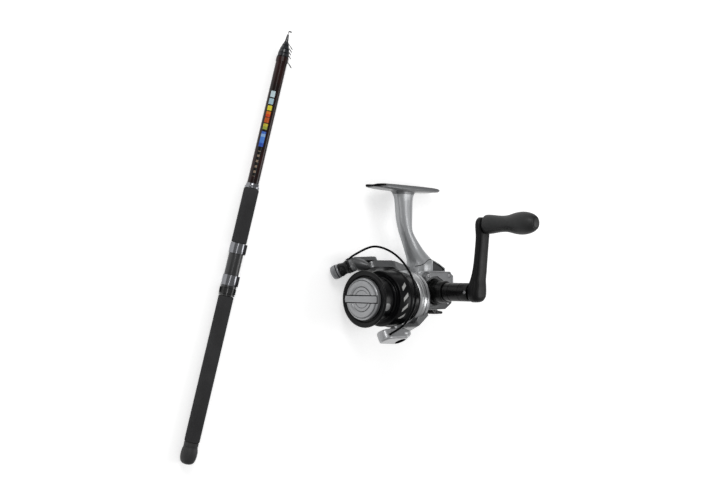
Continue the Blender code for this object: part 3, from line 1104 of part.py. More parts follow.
def build_insert(spool, spin):
    """Oval grip insert sunk in the spool's arbor, where a line is tied on."""
    turn = math.radians(INSERT_TURN_DEG)
    start = (INSERT_X - 0.5 * INSERT_LENGTH + INSERT_HALF_WIDTH, 0.0)
    end = (INSERT_X + 0.5 * INSERT_LENGTH - INSERT_HALF_WIDTH, 0.0)
    depth = 0.0012
    floor = ARBOR_RADIUS - depth
    pocket = slab("insert_pocket_tool", link_outline(start, INSERT_HALF_WIDTH + FINE_GAP, end,
                                                     INSERT_HALF_WIDTH + FINE_GAP, 6),
                  floor, ARBOR_RADIUS + depth, BLACK, spin, "XY")
    pocket.rotation_euler = (turn - math.radians(90.0), 0.0, 0.0)
    combine(spool, pocket, "DIFFERENCE")
    insert = slab("arbor_insert", link_outline(start, INSERT_HALF_WIDTH, end, INSERT_HALF_WIDTH, 6),
                  floor + FINE_GAP, ARBOR_RADIUS, NYLON, spin, "XY")
    insert.rotation_euler = (turn - math.radians(90.0), 0.0, 0.0)


def build_slider(stroke):
    half_length = 0.0040
    half_height = 0.0070
    corner = 0.0020
    low_x = OSCILLATION_X - half_length
    high_x = OSCILLATION_X + half_length
    outline = [(low_x + corner, -half_height), (high_x - corner, -half_height), (high_x, -half_height + corner),
               (high_x, half_height - corner), (high_x - corner, half_height), (low_x + corner, half_height),
               (low_x, half_height - corner), (low_x, -half_height + corner)]
    block = slab("oscillation_slider", outline, SLIDER_FACE, -0.78 * SLIDER_FACE, NYLON, stroke)
    bore = rod_bar("slider_bore_tool", SHAFT_REAR, 0.0, SHAFT_RADIUS + SEAT_GAP, NYLON, stroke, "X", 16)
    combine(block, bore, "DIFFERENCE")
    slot_outline = box_outline(OSCILLATION_X - 0.0015, OSCILLATION_X + 0.0015, -0.8 * half_height,
                               0.8 * half_height)
    slot = slab("slider_slot_tool", slot_outline, SLIDER_FACE - BODY_WALL, SLIDER_FACE + 0.0012, NYLON,
                stroke)
    combine(block, slot, "DIFFERENCE")


def build_drag_knob(stroke, plunger_start):
    """Front drag knob, threaded on the main shaft, with a bar across its face to turn it by."""
    thread = make_empty("drag_knob_axis", stroke)
    bore = SHAFT_RADIUS + SEAT_GAP
    blind = SHAFT_FRONT + SEAT_GAP
    disc_rear = KNOB_RECESS_FLOOR + SEAT_GAP
    face = DRAG_KNOB_FRONT
    profile = [(blind, 0.0), (blind, bore), (plunger_start, bore), (plunger_start, 0.0100),
               (disc_rear, 0.0100), (disc_rear, DRAG_KNOB_RADIUS), (face - 0.0014, DRAG_KNOB_RADIUS),
               (face - 0.0004, DRAG_KNOB_RADIUS - 0.0008), (face - 0.0004, 0.0180), (face, 0.0174),
               (face, 0.0118), (face - 0.0005, 0.0112), (face - 0.0005, 0.0086), (face + 0.0003, 0.0078),
               (face + 0.0003, 0.0)]
    knob = turned("drag_knob", profile, SILVER, thread, axis="X", sides=32)
    reach = DRAG_KNOB_RADIUS - 0.0003
    half = 0.5 * DRAG_BAR_HEIGHT
    outline = [(-reach + 0.0006, -half), (reach - 0.0006, -half), (reach, 0.0), (reach - 0.0006, half),
               (-reach + 0.0006, half), (-reach, 0.0)]
    bar = slab("drag_bar_tool", outline, blind + FINE_GAP, face + DRAG_BAR_RISE, SILVER, thread, "YZ")
    combine(knob, bar, "UNION")


def build_reel(parent):
    """The reel in its own frame, laid down beside the rod by one empty."""
    turn = (math.radians(REEL_ROLL_DEG), math.radians(REEL_PITCH_DEG), math.radians(REEL_HEADING_DEG))
    reel = make_empty("reel", parent, (REEL_X, REEL_Y, REEL_Z), turn)
    build_casing(reel)
    build_covers(reel)
    build_casing_fittings(reel)
    build_oscillation(reel)
    build_crank(reel)
    rotor_axis = build_rotor(reel)
    build_bail(rotor_axis)
    build_pivot_screws(rotor_axis)
    build_spool(reel)


build_reel(build_rod())
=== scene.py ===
# %% [markdown]
# # A telescopic rod and a spinning reel
# Two pieces of fishing tackle lie on one white table: a short telescopic rod, closed, and a
# spinning reel on its side. The solid model comes in as a fixed frame of named nodes. This
# lesson dresses that frame: it sets the camera, mixes a finish for each real material, models
# a smooth visible piece for each part that the eye rests on, and sets the table and the light.

# %% Load the fixed frame
import json
import math

import bpy
from mathutils import Matrix, Vector


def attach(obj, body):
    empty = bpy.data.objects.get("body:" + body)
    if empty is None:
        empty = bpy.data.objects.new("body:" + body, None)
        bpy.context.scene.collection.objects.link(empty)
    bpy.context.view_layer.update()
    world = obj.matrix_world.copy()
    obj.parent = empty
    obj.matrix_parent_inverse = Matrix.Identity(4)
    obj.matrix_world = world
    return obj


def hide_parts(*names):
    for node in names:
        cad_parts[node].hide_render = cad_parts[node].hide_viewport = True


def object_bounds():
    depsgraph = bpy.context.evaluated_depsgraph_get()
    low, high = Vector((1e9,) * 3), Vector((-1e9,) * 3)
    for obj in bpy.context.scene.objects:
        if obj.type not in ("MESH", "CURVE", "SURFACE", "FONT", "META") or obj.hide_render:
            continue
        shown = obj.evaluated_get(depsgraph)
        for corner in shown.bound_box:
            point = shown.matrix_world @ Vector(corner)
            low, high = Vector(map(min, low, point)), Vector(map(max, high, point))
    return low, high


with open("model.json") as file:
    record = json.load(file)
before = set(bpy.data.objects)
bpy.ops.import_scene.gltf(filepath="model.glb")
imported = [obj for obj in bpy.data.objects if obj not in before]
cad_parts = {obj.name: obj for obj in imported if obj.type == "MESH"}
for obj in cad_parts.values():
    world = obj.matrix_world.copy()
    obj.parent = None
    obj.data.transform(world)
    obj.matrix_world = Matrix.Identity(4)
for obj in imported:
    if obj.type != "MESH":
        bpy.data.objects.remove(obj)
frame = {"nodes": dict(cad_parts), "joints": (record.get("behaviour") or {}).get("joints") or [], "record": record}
nodes = frame["nodes"]
joints = {joint["name"]: joint for joint in frame["joints"]}
SOLID_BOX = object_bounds()

# %% [markdown]
# ## The reel's own axes
# The reel lies tilted beside the rod, so working in world axes would be awkward. Two joints
# tell how it lies: the spool slides forward, the handle turns about the side axis, and their
# cross product points up the leg to the foot. One matrix then carries any piece modelled in
# that plain frame to its real place. The bail's hinge and the line roller give two more. HERE
# changes nothing, and TURNED lays the X axis, about which pieces are spun, along Y.

# %% Read the reel's frame from its joints
FORWARD = Vector(joints["spool_stroke"]["axis"]).normalized()
SIDE = Vector(joints["handle_turn"]["axis"]).normalized()
UP = FORWARD.cross(SIDE).normalized()
CRANK_HEIGHT = 0.0063
CRANK = Vector(joints["handle_turn"]["pos_m"])
REEL_ORIGIN = CRANK - CRANK_HEIGHT * UP


def axes_matrix(x, y, z, place):
    """Matrix whose columns are three axes and a place."""
    return Matrix(((x[0], y[0], z[0], place[0]), (x[1], y[1], z[1], place[1]),
                   (x[2], y[2], z[2], place[2]), (0.0, 0.0, 0.0, 1.0)))


def swapped(along):
    """Frame that stands the spin axis X up along Z, at a distance along X in metres."""
    return axes_matrix((0.0, 0.0, 1.0), (1.0, 0.0, 0.0), (0.0, 1.0, 0.0), (along, 0.0, 0.0))


HERE = Matrix.Identity(4)
TURNED = axes_matrix((0.0, 1.0, 0.0), (0.0, 0.0, 1.0), (1.0, 0.0, 0.0), (0.0, 0.0, 0.0))
REEL = axes_matrix(FORWARD, SIDE, UP, REEL_ORIGIN)
HINGE = Vector(joints["bail_flip"]["axis"]).normalized()
ROTOR = axes_matrix(FORWARD, HINGE.cross(FORWARD), HINGE, REEL_ORIGIN)
ROLLER_LINE = Vector(joints["line_roller_spin"]["axis"]).normalized()
ROLLER_PLACE = Vector(joints["line_roller_spin"]["pos_m"])
ROLLER = axes_matrix(ROLLER_LINE, HINGE, ROLLER_LINE.cross(HINGE), ROLLER_PLACE)
print("reel stands at", [round(c, 3) for c in REEL_ORIGIN])

# %% [markdown]
# ## Camera
# The camera looks down on the table at about fifty degrees and is rolled, so that the reel
# seems to stand upright and the rod leans a little to the right. Its lens sees the width of
# the two things with white space round them.

# %% Set the camera
camera_data = bpy.data.cameras.new("camera")
camera_data.sensor_width = 36.0
camera_data.lens = 50.6
camera_data.clip_start = 0.01
camera = bpy.data.objects.new("camera", camera_data)
bpy.context.scene.collection.objects.link(camera)
camera.location = (-0.54357, 0.18267, 0.77462)
camera.rotation_euler = (math.radians(-8.640), math.radians(-41.113), math.radians(17.318))
bpy.context.scene.camera = camera
print("camera", tuple(round(c, 3) for c in camera.location))

# %% [markdown]
# ## Colour and nodes
# Colours are written as the hex values a paint chart gives. Blender works in linear light,
# so one function turns them. A second small function adds a shader node, sets its inputs
# and makes its links, and every finish below is built with it.

# %% Colour and node helpers
NOISE, MATHS, VECTORS = "ShaderNodeTexNoise", "ShaderNodeMath", "ShaderNodeVectorMath"
RAMP, RANGE, BUMP = "ShaderNodeValToRGB", "ShaderNodeMapRange", "ShaderNodeBump"
COORDS, SPLIT, MIX = "ShaderNodeTexCoord", "ShaderNodeSeparateXYZ", "ShaderNodeMix"


def linear(hex_colour):
    """Linear RGBA from an sRGB hex colour."""
    parts = [int(hex_colour[index:index + 2], 16) / 255.0 for index in (1, 3, 5)]
    light = [part / 12.92 if part <= 0.04045 else ((part + 0.055) / 1.055) ** 2.4 for part in parts]
    return (*light, 1.0)


def new_material(name, inputs=None):
    """A material and its shader, with the shader's plain inputs set by name."""
    look = bpy.data.materials.new(name)
    look.use_nodes = True
    shader = look.node_tree.nodes["Principled BSDF"]
    for key, value in (inputs or {}).items():
        shader.inputs[key].default_value = value
    return look, shader


def node(look, kind, settings=None, inputs=None, links=None, stops=None):
    """Add a node and return its outputs; links name the sockets that feed it, stops colour a ramp."""
    made = look.node_tree.nodes.new(kind)
    for key, value in (settings or {}).items():
        setattr(made, key, value)
    for key, value in (inputs or {}).items():
        made.inputs[key].default_value = value
    for key, source in (links or {}).items():
        look.node_tree.links.new(source, made.inputs[key])
    if stops:
        band = made.color_ramp.elements
        band[0].position, band[1].position = stops[0][0], stops[-1][0]
        band[0].color, band[1].color = linear(stops[0][1]), linear(stops[-1][1])
        for place, colour in stops[1:-1]:
            band.new(place).color = linear(colour)
    return made.outputs


def feed(look, shader, sources):
    """Link sockets to the shader's inputs by name."""
    for key, source in sources.items():
        look.node_tree.links.new(source, shader.inputs[key])


def all_of(look, *masks):
    """One mask that is white only where every given mask is."""
    whole = masks[0]
    for mask in masks[1:]:
        whole = node(look, MATHS, {"operation": "MULTIPLY"}, None, {0: whole, 1: mask})[0]
    return whole


print("white is", tuple(round(c, 2) for c in linear("#ffffff")))

# %% [markdown]
# ## Foam and rubber
# The rod's grips are EVA foam, turned and sanded from a block. Sanding opens tiny cells half
# a millimetre across, which kill every highlight. The butt cap and the reel's knob are
# moulded rubber: denser, a shade glossier, with a faint grain from the mould.

# %% Foam and rubber finishes
def grainy(name, low, high, rough_low, rough_high, grain, depth, strength, specular):
    """Matte material: a noise of real grain size tints it, roughens it and lifts its surface."""
    look, shader = new_material(name, {"Specular IOR Level": specular})
    place = node(look, COORDS)["Object"]
    fine = node(look, NOISE, None, {"Scale": 1.0 / grain, "Detail": 3.0}, {"Vector": place})[0]
    broad = node(look, NOISE, None, {"Scale": 60.0, "Detail": 2.0}, {"Vector": place})[0]
    fine_share = node(look, MATHS, {"operation": "MULTIPLY"}, {1: 0.6}, {0: fine})[0]
    total = node(look, MATHS, {"operation": "MULTIPLY_ADD"}, {1: 0.4}, {0: broad, 2: fine_share})[0]
    feed(look, shader, {
        "Base Color": node(look, RAMP, None, None, {"Fac": total}, ((0.35, low), (0.65, high)))[0],
        "Roughness": node(look, RANGE, None, {"To Min": rough_low, "To Max": rough_high}, {"Value": fine})[0],
        "Normal": node(look, BUMP, None, {"Strength": strength, "Distance": depth}, {"Height": fine})[0]})
    return look


EVA_FOAM = grainy("sanded_eva_foam", "#2b2b2c", "#3a3a3b", 0.80, 0.95, 0.00045, 0.00010, 0.45, 0.30)
CAP_RUBBER = grainy("moulded_rubber", "#252526", "#313132", 0.50, 0.62, 0.00060, 0.00004, 0.30, 0.45)
KNOB_RUBBER = grainy("soft_touch_rubber", "#0c0d0e", "#151617", 0.46, 0.56, 0.00050, 0.00003, 0.25, 0.50)
FELT = grainy("felt_washer", "#8a8070", "#9c9282", 0.90, 0.98, 0.0008, 0.00010, 0.6, 0.2)
print("foam and rubber", EVA_FOAM.name, CAP_RUBBER.name, KNOB_RUBBER.name)

# %% [markdown]
# ## Hard black plastics and lacquers
# ABS comes out of a polished mould with an even gloss and a very slight waviness. The
# handle arm is glass-filled nylon: satin, with a faint speckle of fibre, drawn coarser than
# it is so that it shows. Lacquered parts are smoother and keep more of the highlight.

# %% Plastic finishes
def plastic(name, colour, speck, rough, wave, coat, shine=0.5):
    """Moulded plastic: an even colour with faint fibre specks and a slow waviness."""
    look, shader = new_material(name, {"Coat Weight": coat, "Coat Roughness": 0.08,
                                       "Specular IOR Level": shine})
    place = node(look, COORDS)["Object"]
    slow = node(look, NOISE, None, {"Scale": 90.0, "Detail": 1.0}, {"Vector": place})[0]
    fibre = node(look, NOISE, None, {"Scale": 1500.0, "Detail": 2.0}, {"Vector": place})[0]
    spread = {"To Min": rough - 0.05, "To Max": rough + 0.05}
    feed(look, shader, {
        "Base Color": node(look, RAMP, None, None, {"Fac": fibre}, ((0.40, colour), (0.72, speck)))[0],
        "Roughness": node(look, RANGE, None, spread, {"Value": slow})[0],
        "Normal": node(look, BUMP, None, {"Strength": 0.2, "Distance": wave}, {"Height": slow})[0]})
    return look


NUT_BLACK = plastic("ribbed_nut_plastic", "#1a1a1b", "#232324", 0.24, 0.00004, 0.3, 0.6)
GLOSS_ABS = plastic("moulded_abs", "#0b0b0b", "#121212", 0.27, 0.00006, 0.0, 0.22)
NYLON_BLACK = plastic("glass_filled_nylon", "#0d0d0e", "#161617", 0.40, 0.00005, 0.0, 0.18)
NYLON_WHITE = plastic("acetal_resin", "#cfcfca", "#d8d8d4", 0.40, 0.00003, 0.0)
CARBON = plastic("black_lacquered_tube", "#0e0f12", "#14151a", 0.18, 0.00003, 0.0)
SHADOW_BLACK = plastic("joint_shadow", "#060607", "#0a0a0b", 0.60, 0.00002, 0.0, 0.10)
DRUM_BLACK = plastic("gloss_drum_black", "#0b0b0c", "#111112", 0.24, 0.00003, 0.0, 0.25)
GRAPHITE = plastic("graphite_seat", "#242425", "#313132", 0.34, 0.00003, 0.1)
# Grey that is painted as shade in grooves and on a sunk screw.
RECESS_SHADE = plastic("recess_painted_shade", "#3c3d3e", "#484949", 0.50, 0.00002, 0.0)
CONE_BLACK = plastic("blue_black_lacquer", "#14171c", "#1d2027", 0.24, 0.00003, 0.1)
print("plastics", GLOSS_ABS.name, NYLON_BLACK.name, GRAPHITE.name)

# %% [markdown]
# ## Metals and metallic paint
# Chrome plate is a mirror, dark where it reflects the dark side. Steel pins and bearings keep
# their lathe marks. The casing is sprayed with a silver paint: fine aluminium flakes under a
# thin clear coat, so it is part metal and part grey, and it sparkles a very little close up.
# The flakes are drawn larger than real ones, which would be too fine to show.

# %% Metal finishes
def metal(name, colour, rough, mark):
    """Bare or plated metal, with roughness that follows faint marks of the given size."""
    look, shader = new_material(name, {"Base Color": linear(colour), "Metallic": 1.0})
    place = node(look, COORDS)["Object"]
    marks = node(look, NOISE, None, {"Scale": 1.0 / mark, "Detail": 2.0}, {"Vector": place})[0]
    spread = {"To Min": 0.7 * rough, "To Max": 1.3 * rough}
    feed(look, shader, {"Roughness": node(look, RANGE, None, spread, {"Value": marks})[0]})
    return look


def flake_paint(name, dark, bright, metallic, rough):
    """Silver paint: a cell pattern of flakes, each with its own brightness, under a clear coat."""
    look, shader = new_material(name, {"Metallic": metallic, "Roughness": rough, "Coat Weight": 0.35,
                                       "Coat Roughness": 0.12})
    place = node(look, COORDS)["Object"]
    flakes = node(look, "ShaderNodeTexVoronoi", None, {"Scale": 2200.0}, {"Vector": place})["Color"]
    cloud = node(look, NOISE, None, {"Scale": 35.0, "Detail": 2.0}, {"Vector": place})[0]
    grey = node(look, "ShaderNodeRGBToBW", None, None, {"Color": flakes})[0]
    broad = node(look, MATHS, {"operation": "MULTIPLY"}, {1: 0.45}, {0: cloud})[0]
    blend = node(look, MATHS, {"operation": "MULTIPLY_ADD"}, {1: 0.55}, {0: grey, 2: broad})[0]
    colour = node(look, RAMP, None, None, {"Fac": blend}, ((0.25, dark), (0.75, bright)))[0]
    feed(look, shader, {"Base Color": colour})
    return look


CHROME = metal("chrome_plate", "#85868a", 0.17, 0.004)
SHADED_CHROME = metal("chrome_in_shade", "#1d1d1f", 0.30, 0.004)
STEEL = metal("turned_steel", "#b4b4b6", 0.28, 0.0008)
BRASS = metal("cut_brass", "#b08d4a", 0.32, 0.0008)
BRIGHT_RIM = metal("polished_rim", "#cbcccd", 0.36, 0.003)
WIRE_BLACK = metal("blackened_wire", "#141415", 0.30, 0.002)
SILVER_PAINT = flake_paint("silver_flake_paint", "#a2a4a6", "#b6b8ba", 0.45, 0.36)
SATIN_SILVER = flake_paint("satin_silver_paint", "#98999b", "#a6a7a9", 0.60, 0.36)
SMOKE_SILVER = flake_paint("smoke_grey_paint", "#77787a", "#86878a", 0.50, 0.36)
ARM_GREY = flake_paint("arm_grey_paint", "#606162", "#707172", 0.45, 0.34)
PAD_SILVER = flake_paint("pad_silver", "#8b8c8c", "#a2a3a3", 0.2, 0.45)
LEVER_SILVER = flake_paint("lever_silver_paint", "#9a9b9d", "#acadaf", 0.45, 0.34)
COVER_SILVER = flake_paint("cover_silver_paint", "#67686a", "#767779", 0.45, 0.38)
# Graphite grey that is painted as shade on the casing's lower half.
LOWER_SHADE_PAINT = flake_paint("painted_lower_shade", "#2c2d2e", "#38393a", 0.40, 0.40)
# Dark grey that is painted as shade in the web's recess.
WEB_SHADE = flake_paint("web_painted_shade", "#1a1b1d", "#232426", 0.30, 0.45)
print("metals", CHROME.name, STEEL.name, SILVER_PAINT.name)

# %% [markdown]
# ## The lacquered tube and its coloured band
# The rod's butt section is a rolled carbon and glass tube under a nearly black maroon
# lacquer. A printed strip of plain coloured patches runs along the side that faces up. The
# patches need no geometry: one colour ramp reads the distance along the tube, a second
# measure across it keeps the strip narrow, and the clear coat goes over all of it. Small
# pale dashes mark the strip's lower end.

# %% Maroon lacquer with a strip of plain patches
STRIP_SIDE, STRIP_UP = Vector((0.746, 0.0, 0.666)), Vector((-0.666, 0.0, 0.746))
STRIP_START, STRIP_END = 0.271, 0.355
STRIP_SHIFT, STRIP_HALF_WIDTH, STRIP_INK = 0.0004, 0.0021, "#0d0b0c"
DASH_SCALE, DASH_CUT, DASH_HALF_WIDTH, DASHES_END = 62.0, 0.62, 0.0011, 0.296
PATCHES = ((272.0, None), (300.0, "#2f55b4"), (303.6, "#4f83d6"), (309.4, "#8fb4e2"), (312.1, "#3f68c0"),
           (314.6, None), (316.5, "#9ba640"), (319.5, "#c9b83a"), (322.0, None), (323.1, "#c2571f"),
           (327.8, None), (328.6, "#d2471c"), (331.3, "#d9761f"), (333.8, None), (334.8, "#e0d23a"),
           (339.4, None), (340.8, "#a9c7d2"), (346.3, None), (347.5, "#c3d8df"), (353.4, None))


def strip_lacquer():
    """Maroon lacquer over a dark strip of flat patches, given by their start in millimetres."""
    look, shader = new_material("maroon_lacquer", {"Specular IOR Level": 0.30})
    place = node(look, COORDS)["Object"]
    cloud = node(look, NOISE, None, {"Scale": 55.0, "Detail": 3.0}, {"Vector": place})[0]
    ground = node(look, RAMP, None, None, {"Fac": cloud}, ((0.35, "#150403"), (0.70, "#2c0c09")))[0]
    along = node(look, SPLIT, None, None, {"Vector": place})["Y"]
    share = node(look, RANGE, None, {"From Min": STRIP_START, "From Max": STRIP_END}, {"Value": along})[0]
    run = 1000.0 * (STRIP_END - STRIP_START)
    stops = [(0.0, STRIP_INK)] + [((at - 1000.0 * STRIP_START) / run, colour or STRIP_INK)
                                  for at, colour in PATCHES]
    colours = node(look, RAMP, None, None, {"Fac": share}, stops)[0]
    colours.node.color_ramp.interpolation = "CONSTANT"
    across, height = (node(look, VECTORS, {"operation": "DOT_PRODUCT"}, {1: line}, {0: place})["Value"]
                      for line in (STRIP_SIDE, STRIP_UP))
    offset = node(look, MATHS, {"operation": "ADD"}, {1: STRIP_SHIFT}, {0: across})[0]
    reach = node(look, MATHS, {"operation": "ABSOLUTE"}, None, {0: offset})[0]
    waves = node(look, "ShaderNodeTexWave", {"wave_type": "BANDS", "bands_direction": "Y"},
                 {"Scale": DASH_SCALE}, {"Vector": place})["Fac"]
    inside = node(look, MATHS, {"operation": "COMPARE"}, {1: 0.5, 2: 0.49}, {0: share})[0]
    narrow, upper, dash, thin, early = (
        node(look, MATHS, {"operation": test}, {1: limit}, {0: source})[0] for test, limit, source in (
            ("LESS_THAN", STRIP_HALF_WIDTH, reach), ("GREATER_THAN", 0.0, height),
            ("GREATER_THAN", DASH_CUT, waves), ("LESS_THAN", DASH_HALF_WIDTH, reach),
            ("LESS_THAN", DASHES_END, along)))
    marked = node(look, MIX, {"data_type": "RGBA"}, {"B": linear("#8d7a68")},
                  {"Factor": all_of(look, dash, thin, early), "A": colours})["Result"]
    whole = node(look, MIX, {"data_type": "RGBA"}, None,
                 {"Factor": all_of(look, narrow, inside, upper), "A": ground, "B": marked})["Result"]
    rough = node(look, RANGE, None, {"To Min": 0.16, "To Max": 0.26}, {"Value": cloud})[0]
    feed(look, shader, {"Base Color": whole, "Roughness": rough})
    return look


MAROON = strip_lacquer()
print("lacquer", MAROON.name, "with", len(PATCHES), "strip stops")

# %% [markdown]
# ## The spool's printed skirt
# The spool is a black anodised casting. Round its skirt runs a row of slanted pale strokes,
# printed, so they are colour and not shape. The material first turns the object's place back
# into the reel's own axes, then reads the height along the spool and the angle round it.

# %% Anodised black with slanted strokes
STROKE_SLANT, STROKE_COUNT, STROKE_WIDTH = 26.0, 2.6, 0.36
BAND_MIDDLE, BAND_HALF = 0.0592, 0.0037
ARC_MIDDLE, ARC_HALF = -0.06, 0.70


def skirt_print():
    """Anodised black with pale strokes on one band and arc of the skirt, in the reel's own axes."""
    look, shader = new_material("anodised_black_print", {"Roughness": 0.28, "Specular IOR Level": 0.20})
    local = node(look, "ShaderNodeMapping", {"vector_type": "TEXTURE"},
                 {"Location": REEL.to_translation(), "Rotation": REEL.to_euler("XYZ")},
                 {"Vector": node(look, COORDS)["Object"]})["Vector"]
    axes = node(look, SPLIT, None, None, {"Vector": local})
    angle = node(look, MATHS, {"operation": "ARCTAN2"}, None, {0: axes["Z"], 1: axes["Y"]})[0]
    slant = node(look, MATHS, {"operation": "MULTIPLY_ADD"}, {1: STROKE_SLANT}, {0: axes["X"], 2: angle})[0]
    count = node(look, MATHS, {"operation": "MULTIPLY"}, {1: STROKE_COUNT}, {0: slant})[0]
    share = node(look, MATHS, {"operation": "FRACT"}, None, {0: count})[0]
    stroke = node(look, MATHS, {"operation": "LESS_THAN"}, {1: STROKE_WIDTH}, {0: share})[0]
    band, arc = (
        node(look, MATHS, {"operation": "COMPARE"}, {1: middle, 2: half}, {0: source})[0]
        for middle, half, source in ((BAND_MIDDLE, BAND_HALF, axes["X"]), (ARC_MIDDLE, ARC_HALF, angle)))
    grain = node(look, NOISE, None, {"Scale": 1200.0, "Detail": 2.0}, {"Vector": local})[0]
    ground = node(look, RAMP, None, None, {"Fac": grain}, ((0.35, "#08080a"), (0.70, "#0e0e10")))[0]
    shown = node(look, MIX, {"data_type": "RGBA"}, {"B": linear("#b4b4b2")},
                 {"Factor": all_of(look, stroke, band, arc), "A": ground})["Result"]
    relief = node(look, BUMP, None, {"Strength": 0.15, "Distance": 0.00002}, {"Height": grain})[0]
    feed(look, shader, {"Base Color": shown, "Normal": relief})
    return look


SPOOL_BLACK = skirt_print()
print("spool finish", SPOOL_BLACK.name)

# %% [markdown]
# ## Dressing the solid model
# Every solid node gets the finish of its record slot, and a few get a finish of their own.
# Most of them are hidden later by a smoother piece that stands for them. Screws, gears,
# shafts and guides stay as they are.

# %% Dress every solid node with its real material
DRESS = {
    "foam_black": EVA_FOAM, "rubber_black": KNOB_RUBBER, "plastic_black": GLOSS_ABS,
    "graphite_grey": SMOKE_SILVER, "lacquer_maroon": CARBON, "chrome": CHROME, "silver_paint": SILVER_PAINT,
    "steel": STEEL, "brass": BRASS, "felt_fibre": FELT, "nylon_white": NYLON_WHITE,
}
# The lower pivot screw, sunk in its well, is painted grey as shade.
OWN_FINISH = {
    "upper_pivot_screw": ARM_GREY, "lower_pivot_screw": RECESS_SHADE, "anti_reverse_lever": NYLON_BLACK,
    "butt_guide": MAROON, "guide_2": CONE_BLACK, "guide_3": CONE_BLACK, "guide_4": CONE_BLACK,
    "guide_5": CONE_BLACK, "tip_top": CONE_BLACK,
}
slots = {entry["node"]: entry["material_slot"] for entry in frame["record"]["subparts"]}
for name, solid in nodes.items():
    solid.data.materials.clear()
    solid.data.materials.append(OWN_FINISH.get(name, DRESS[slots[name]]))
print("dressed", len(nodes), "solid nodes")

# %% [markdown]
# ## Three ways to make a piece
# Most of this tackle was turned on a lathe or moulded round an axis, so the first way draws
# half a section as a line of points and spins it. The second extrudes a flat outline. The
# third starts from a solid node: its loose triangles are merged, remeshed finely and relaxed,
# which gives the soft corners that a casting or a moulding has. All points, widths and
# heights below are in millimetres.

# %% Modelling helpers
MM = 0.001


def pick(piece):
    """Select one piece alone and make it active."""
    bpy.ops.object.select_all(action="DESELECT")
    piece.select_set(True)
    bpy.context.view_layer.objects.active = piece


def draw_line(name, points):
    """A new mesh with one chain of edges through points given in millimetres."""
    bpy.ops.object.select_all(action="DESELECT")
    bpy.ops.mesh.primitive_plane_add(size=MM)
    piece = bpy.context.object
    piece.name = name
    bpy.ops.object.mode_set(mode="EDIT")
    bpy.ops.mesh.select_mode(type="VERT")
    bpy.ops.mesh.select_all(action="SELECT")
    bpy.ops.mesh.merge(type="CENTER")
    here = Vector((0.0, 0.0, 0.0))
    for number, point in enumerate(points):
        there = Vector((point[0], point[1], 0.0)) * MM
        if number:
            bpy.ops.mesh.extrude_region_move(TRANSFORM_OT_translate={"value": there - here})
        else:
            bpy.ops.transform.translate(value=there)
        here = there
    bpy.ops.mesh.select_all(action="SELECT")
    return piece


def place_piece(piece, place):
    """Carry a piece to its place and write that place into its mesh."""
    piece.matrix_world = place
    pick(piece)
    bpy.ops.object.transform_apply(location=True, rotation=True, scale=True)
    return piece


def give(piece, finish):
    """Add a finish to a piece, after any that it has."""
    if finish:
        piece.data.materials.append(finish)
    return piece


def spin_line(name, points, sides=96, finish=None):
    """Spin (along, radius) points about the X axis; a last point equal to the first closes a ring."""
    piece = draw_line(name, points)
    bpy.ops.mesh.remove_doubles(threshold=0.002 * MM)
    bpy.ops.mesh.select_all(action="SELECT")
    bpy.ops.mesh.spin(steps=sides, angle=2.0 * math.pi, center=(0.0, 0.0, 0.0), axis=(1.0, 0.0, 0.0))
    bpy.ops.mesh.select_all(action="SELECT")
    bpy.ops.mesh.remove_doubles(threshold=0.002 * MM)
    bpy.ops.mesh.select_all(action="SELECT")
    bpy.ops.mesh.normals_make_consistent(inside=False)
    bpy.ops.object.mode_set(mode="OBJECT")
    return give(piece, finish)


def extrude_outline(name, points, low, high, finish=None):
    """Fill an outline of (x, y) points and extrude it from low to high."""
    piece = draw_line(name, points)
    bpy.ops.mesh.edge_face_add()
    bpy.ops.transform.translate(value=(0.0, 0.0, low * MM))
    bpy.ops.mesh.extrude_region_move(TRANSFORM_OT_translate={"value": (0.0, 0.0, (high - low) * MM)})
    bpy.ops.mesh.select_all(action="SELECT")
    bpy.ops.mesh.normals_make_consistent(inside=False)
    bpy.ops.object.mode_set(mode="OBJECT")
    return give(piece, finish)


def ellipsoid(name, radii, place, carrier, lean=0.0):
    """Round body with three radii, leaned about Y, at a place in the plain frame that carries it."""
    bpy.ops.object.select_all(action="DESELECT")
    bpy.ops.mesh.primitive_uv_sphere_add(segments=48, ring_count=24, radius=MM)
    piece = bpy.context.object
    piece.name = name
    bpy.ops.transform.resize(value=radii)
    if lean:
        bpy.ops.transform.rotate(value=lean, orient_axis="Y", center_override=(0.0, 0.0, 0.0))
    bpy.ops.transform.translate(value=Vector(place) * MM)
    bpy.ops.object.transform_apply(location=True, rotation=True, scale=True)
    return place_piece(piece, carrier)


def apply_step(piece, kind, **settings):
    """Add a modifier with its settings and apply it at once."""
    pick(piece)
    step = piece.modifiers.new("step", kind)
    for key, value in settings.items():
        setattr(step, key, value)
    bpy.ops.object.modifier_apply(modifier="step")
    return piece


def combine(piece, other, operation):
    """Join or cut with another piece, which is then removed; it leaves its finish on the faces it cut."""
    if not other.data.materials:
        give(other, piece.data.materials[0])
    apply_step(piece, "BOOLEAN", operation=operation, object=other, solver="EXACT", material_mode="TRANSFER")
    bpy.data.objects.remove(other)
    return piece


def ease_edges(piece, width, segments=2, angle=50.0):
    """Bevel the edges that are sharper than an angle."""
    return apply_step(piece, "BEVEL", width=width * MM, segments=segments, limit_method="ANGLE",
                      angle_limit=math.radians(angle))


def solid_copy(name, source, finish):
    """A merged copy of a solid node, as a new piece with its own finish."""
    piece = bpy.data.objects.new(name, nodes[source].data.copy())
    bpy.context.scene.collection.objects.link(piece)
    pick(piece)
    bpy.ops.object.mode_set(mode="EDIT")
    bpy.ops.mesh.select_all(action="SELECT")
    bpy.ops.mesh.remove_doubles(threshold=0.001 * MM)
    bpy.ops.object.mode_set(mode="OBJECT")
    piece.data.materials.clear()
    return give(piece, finish)


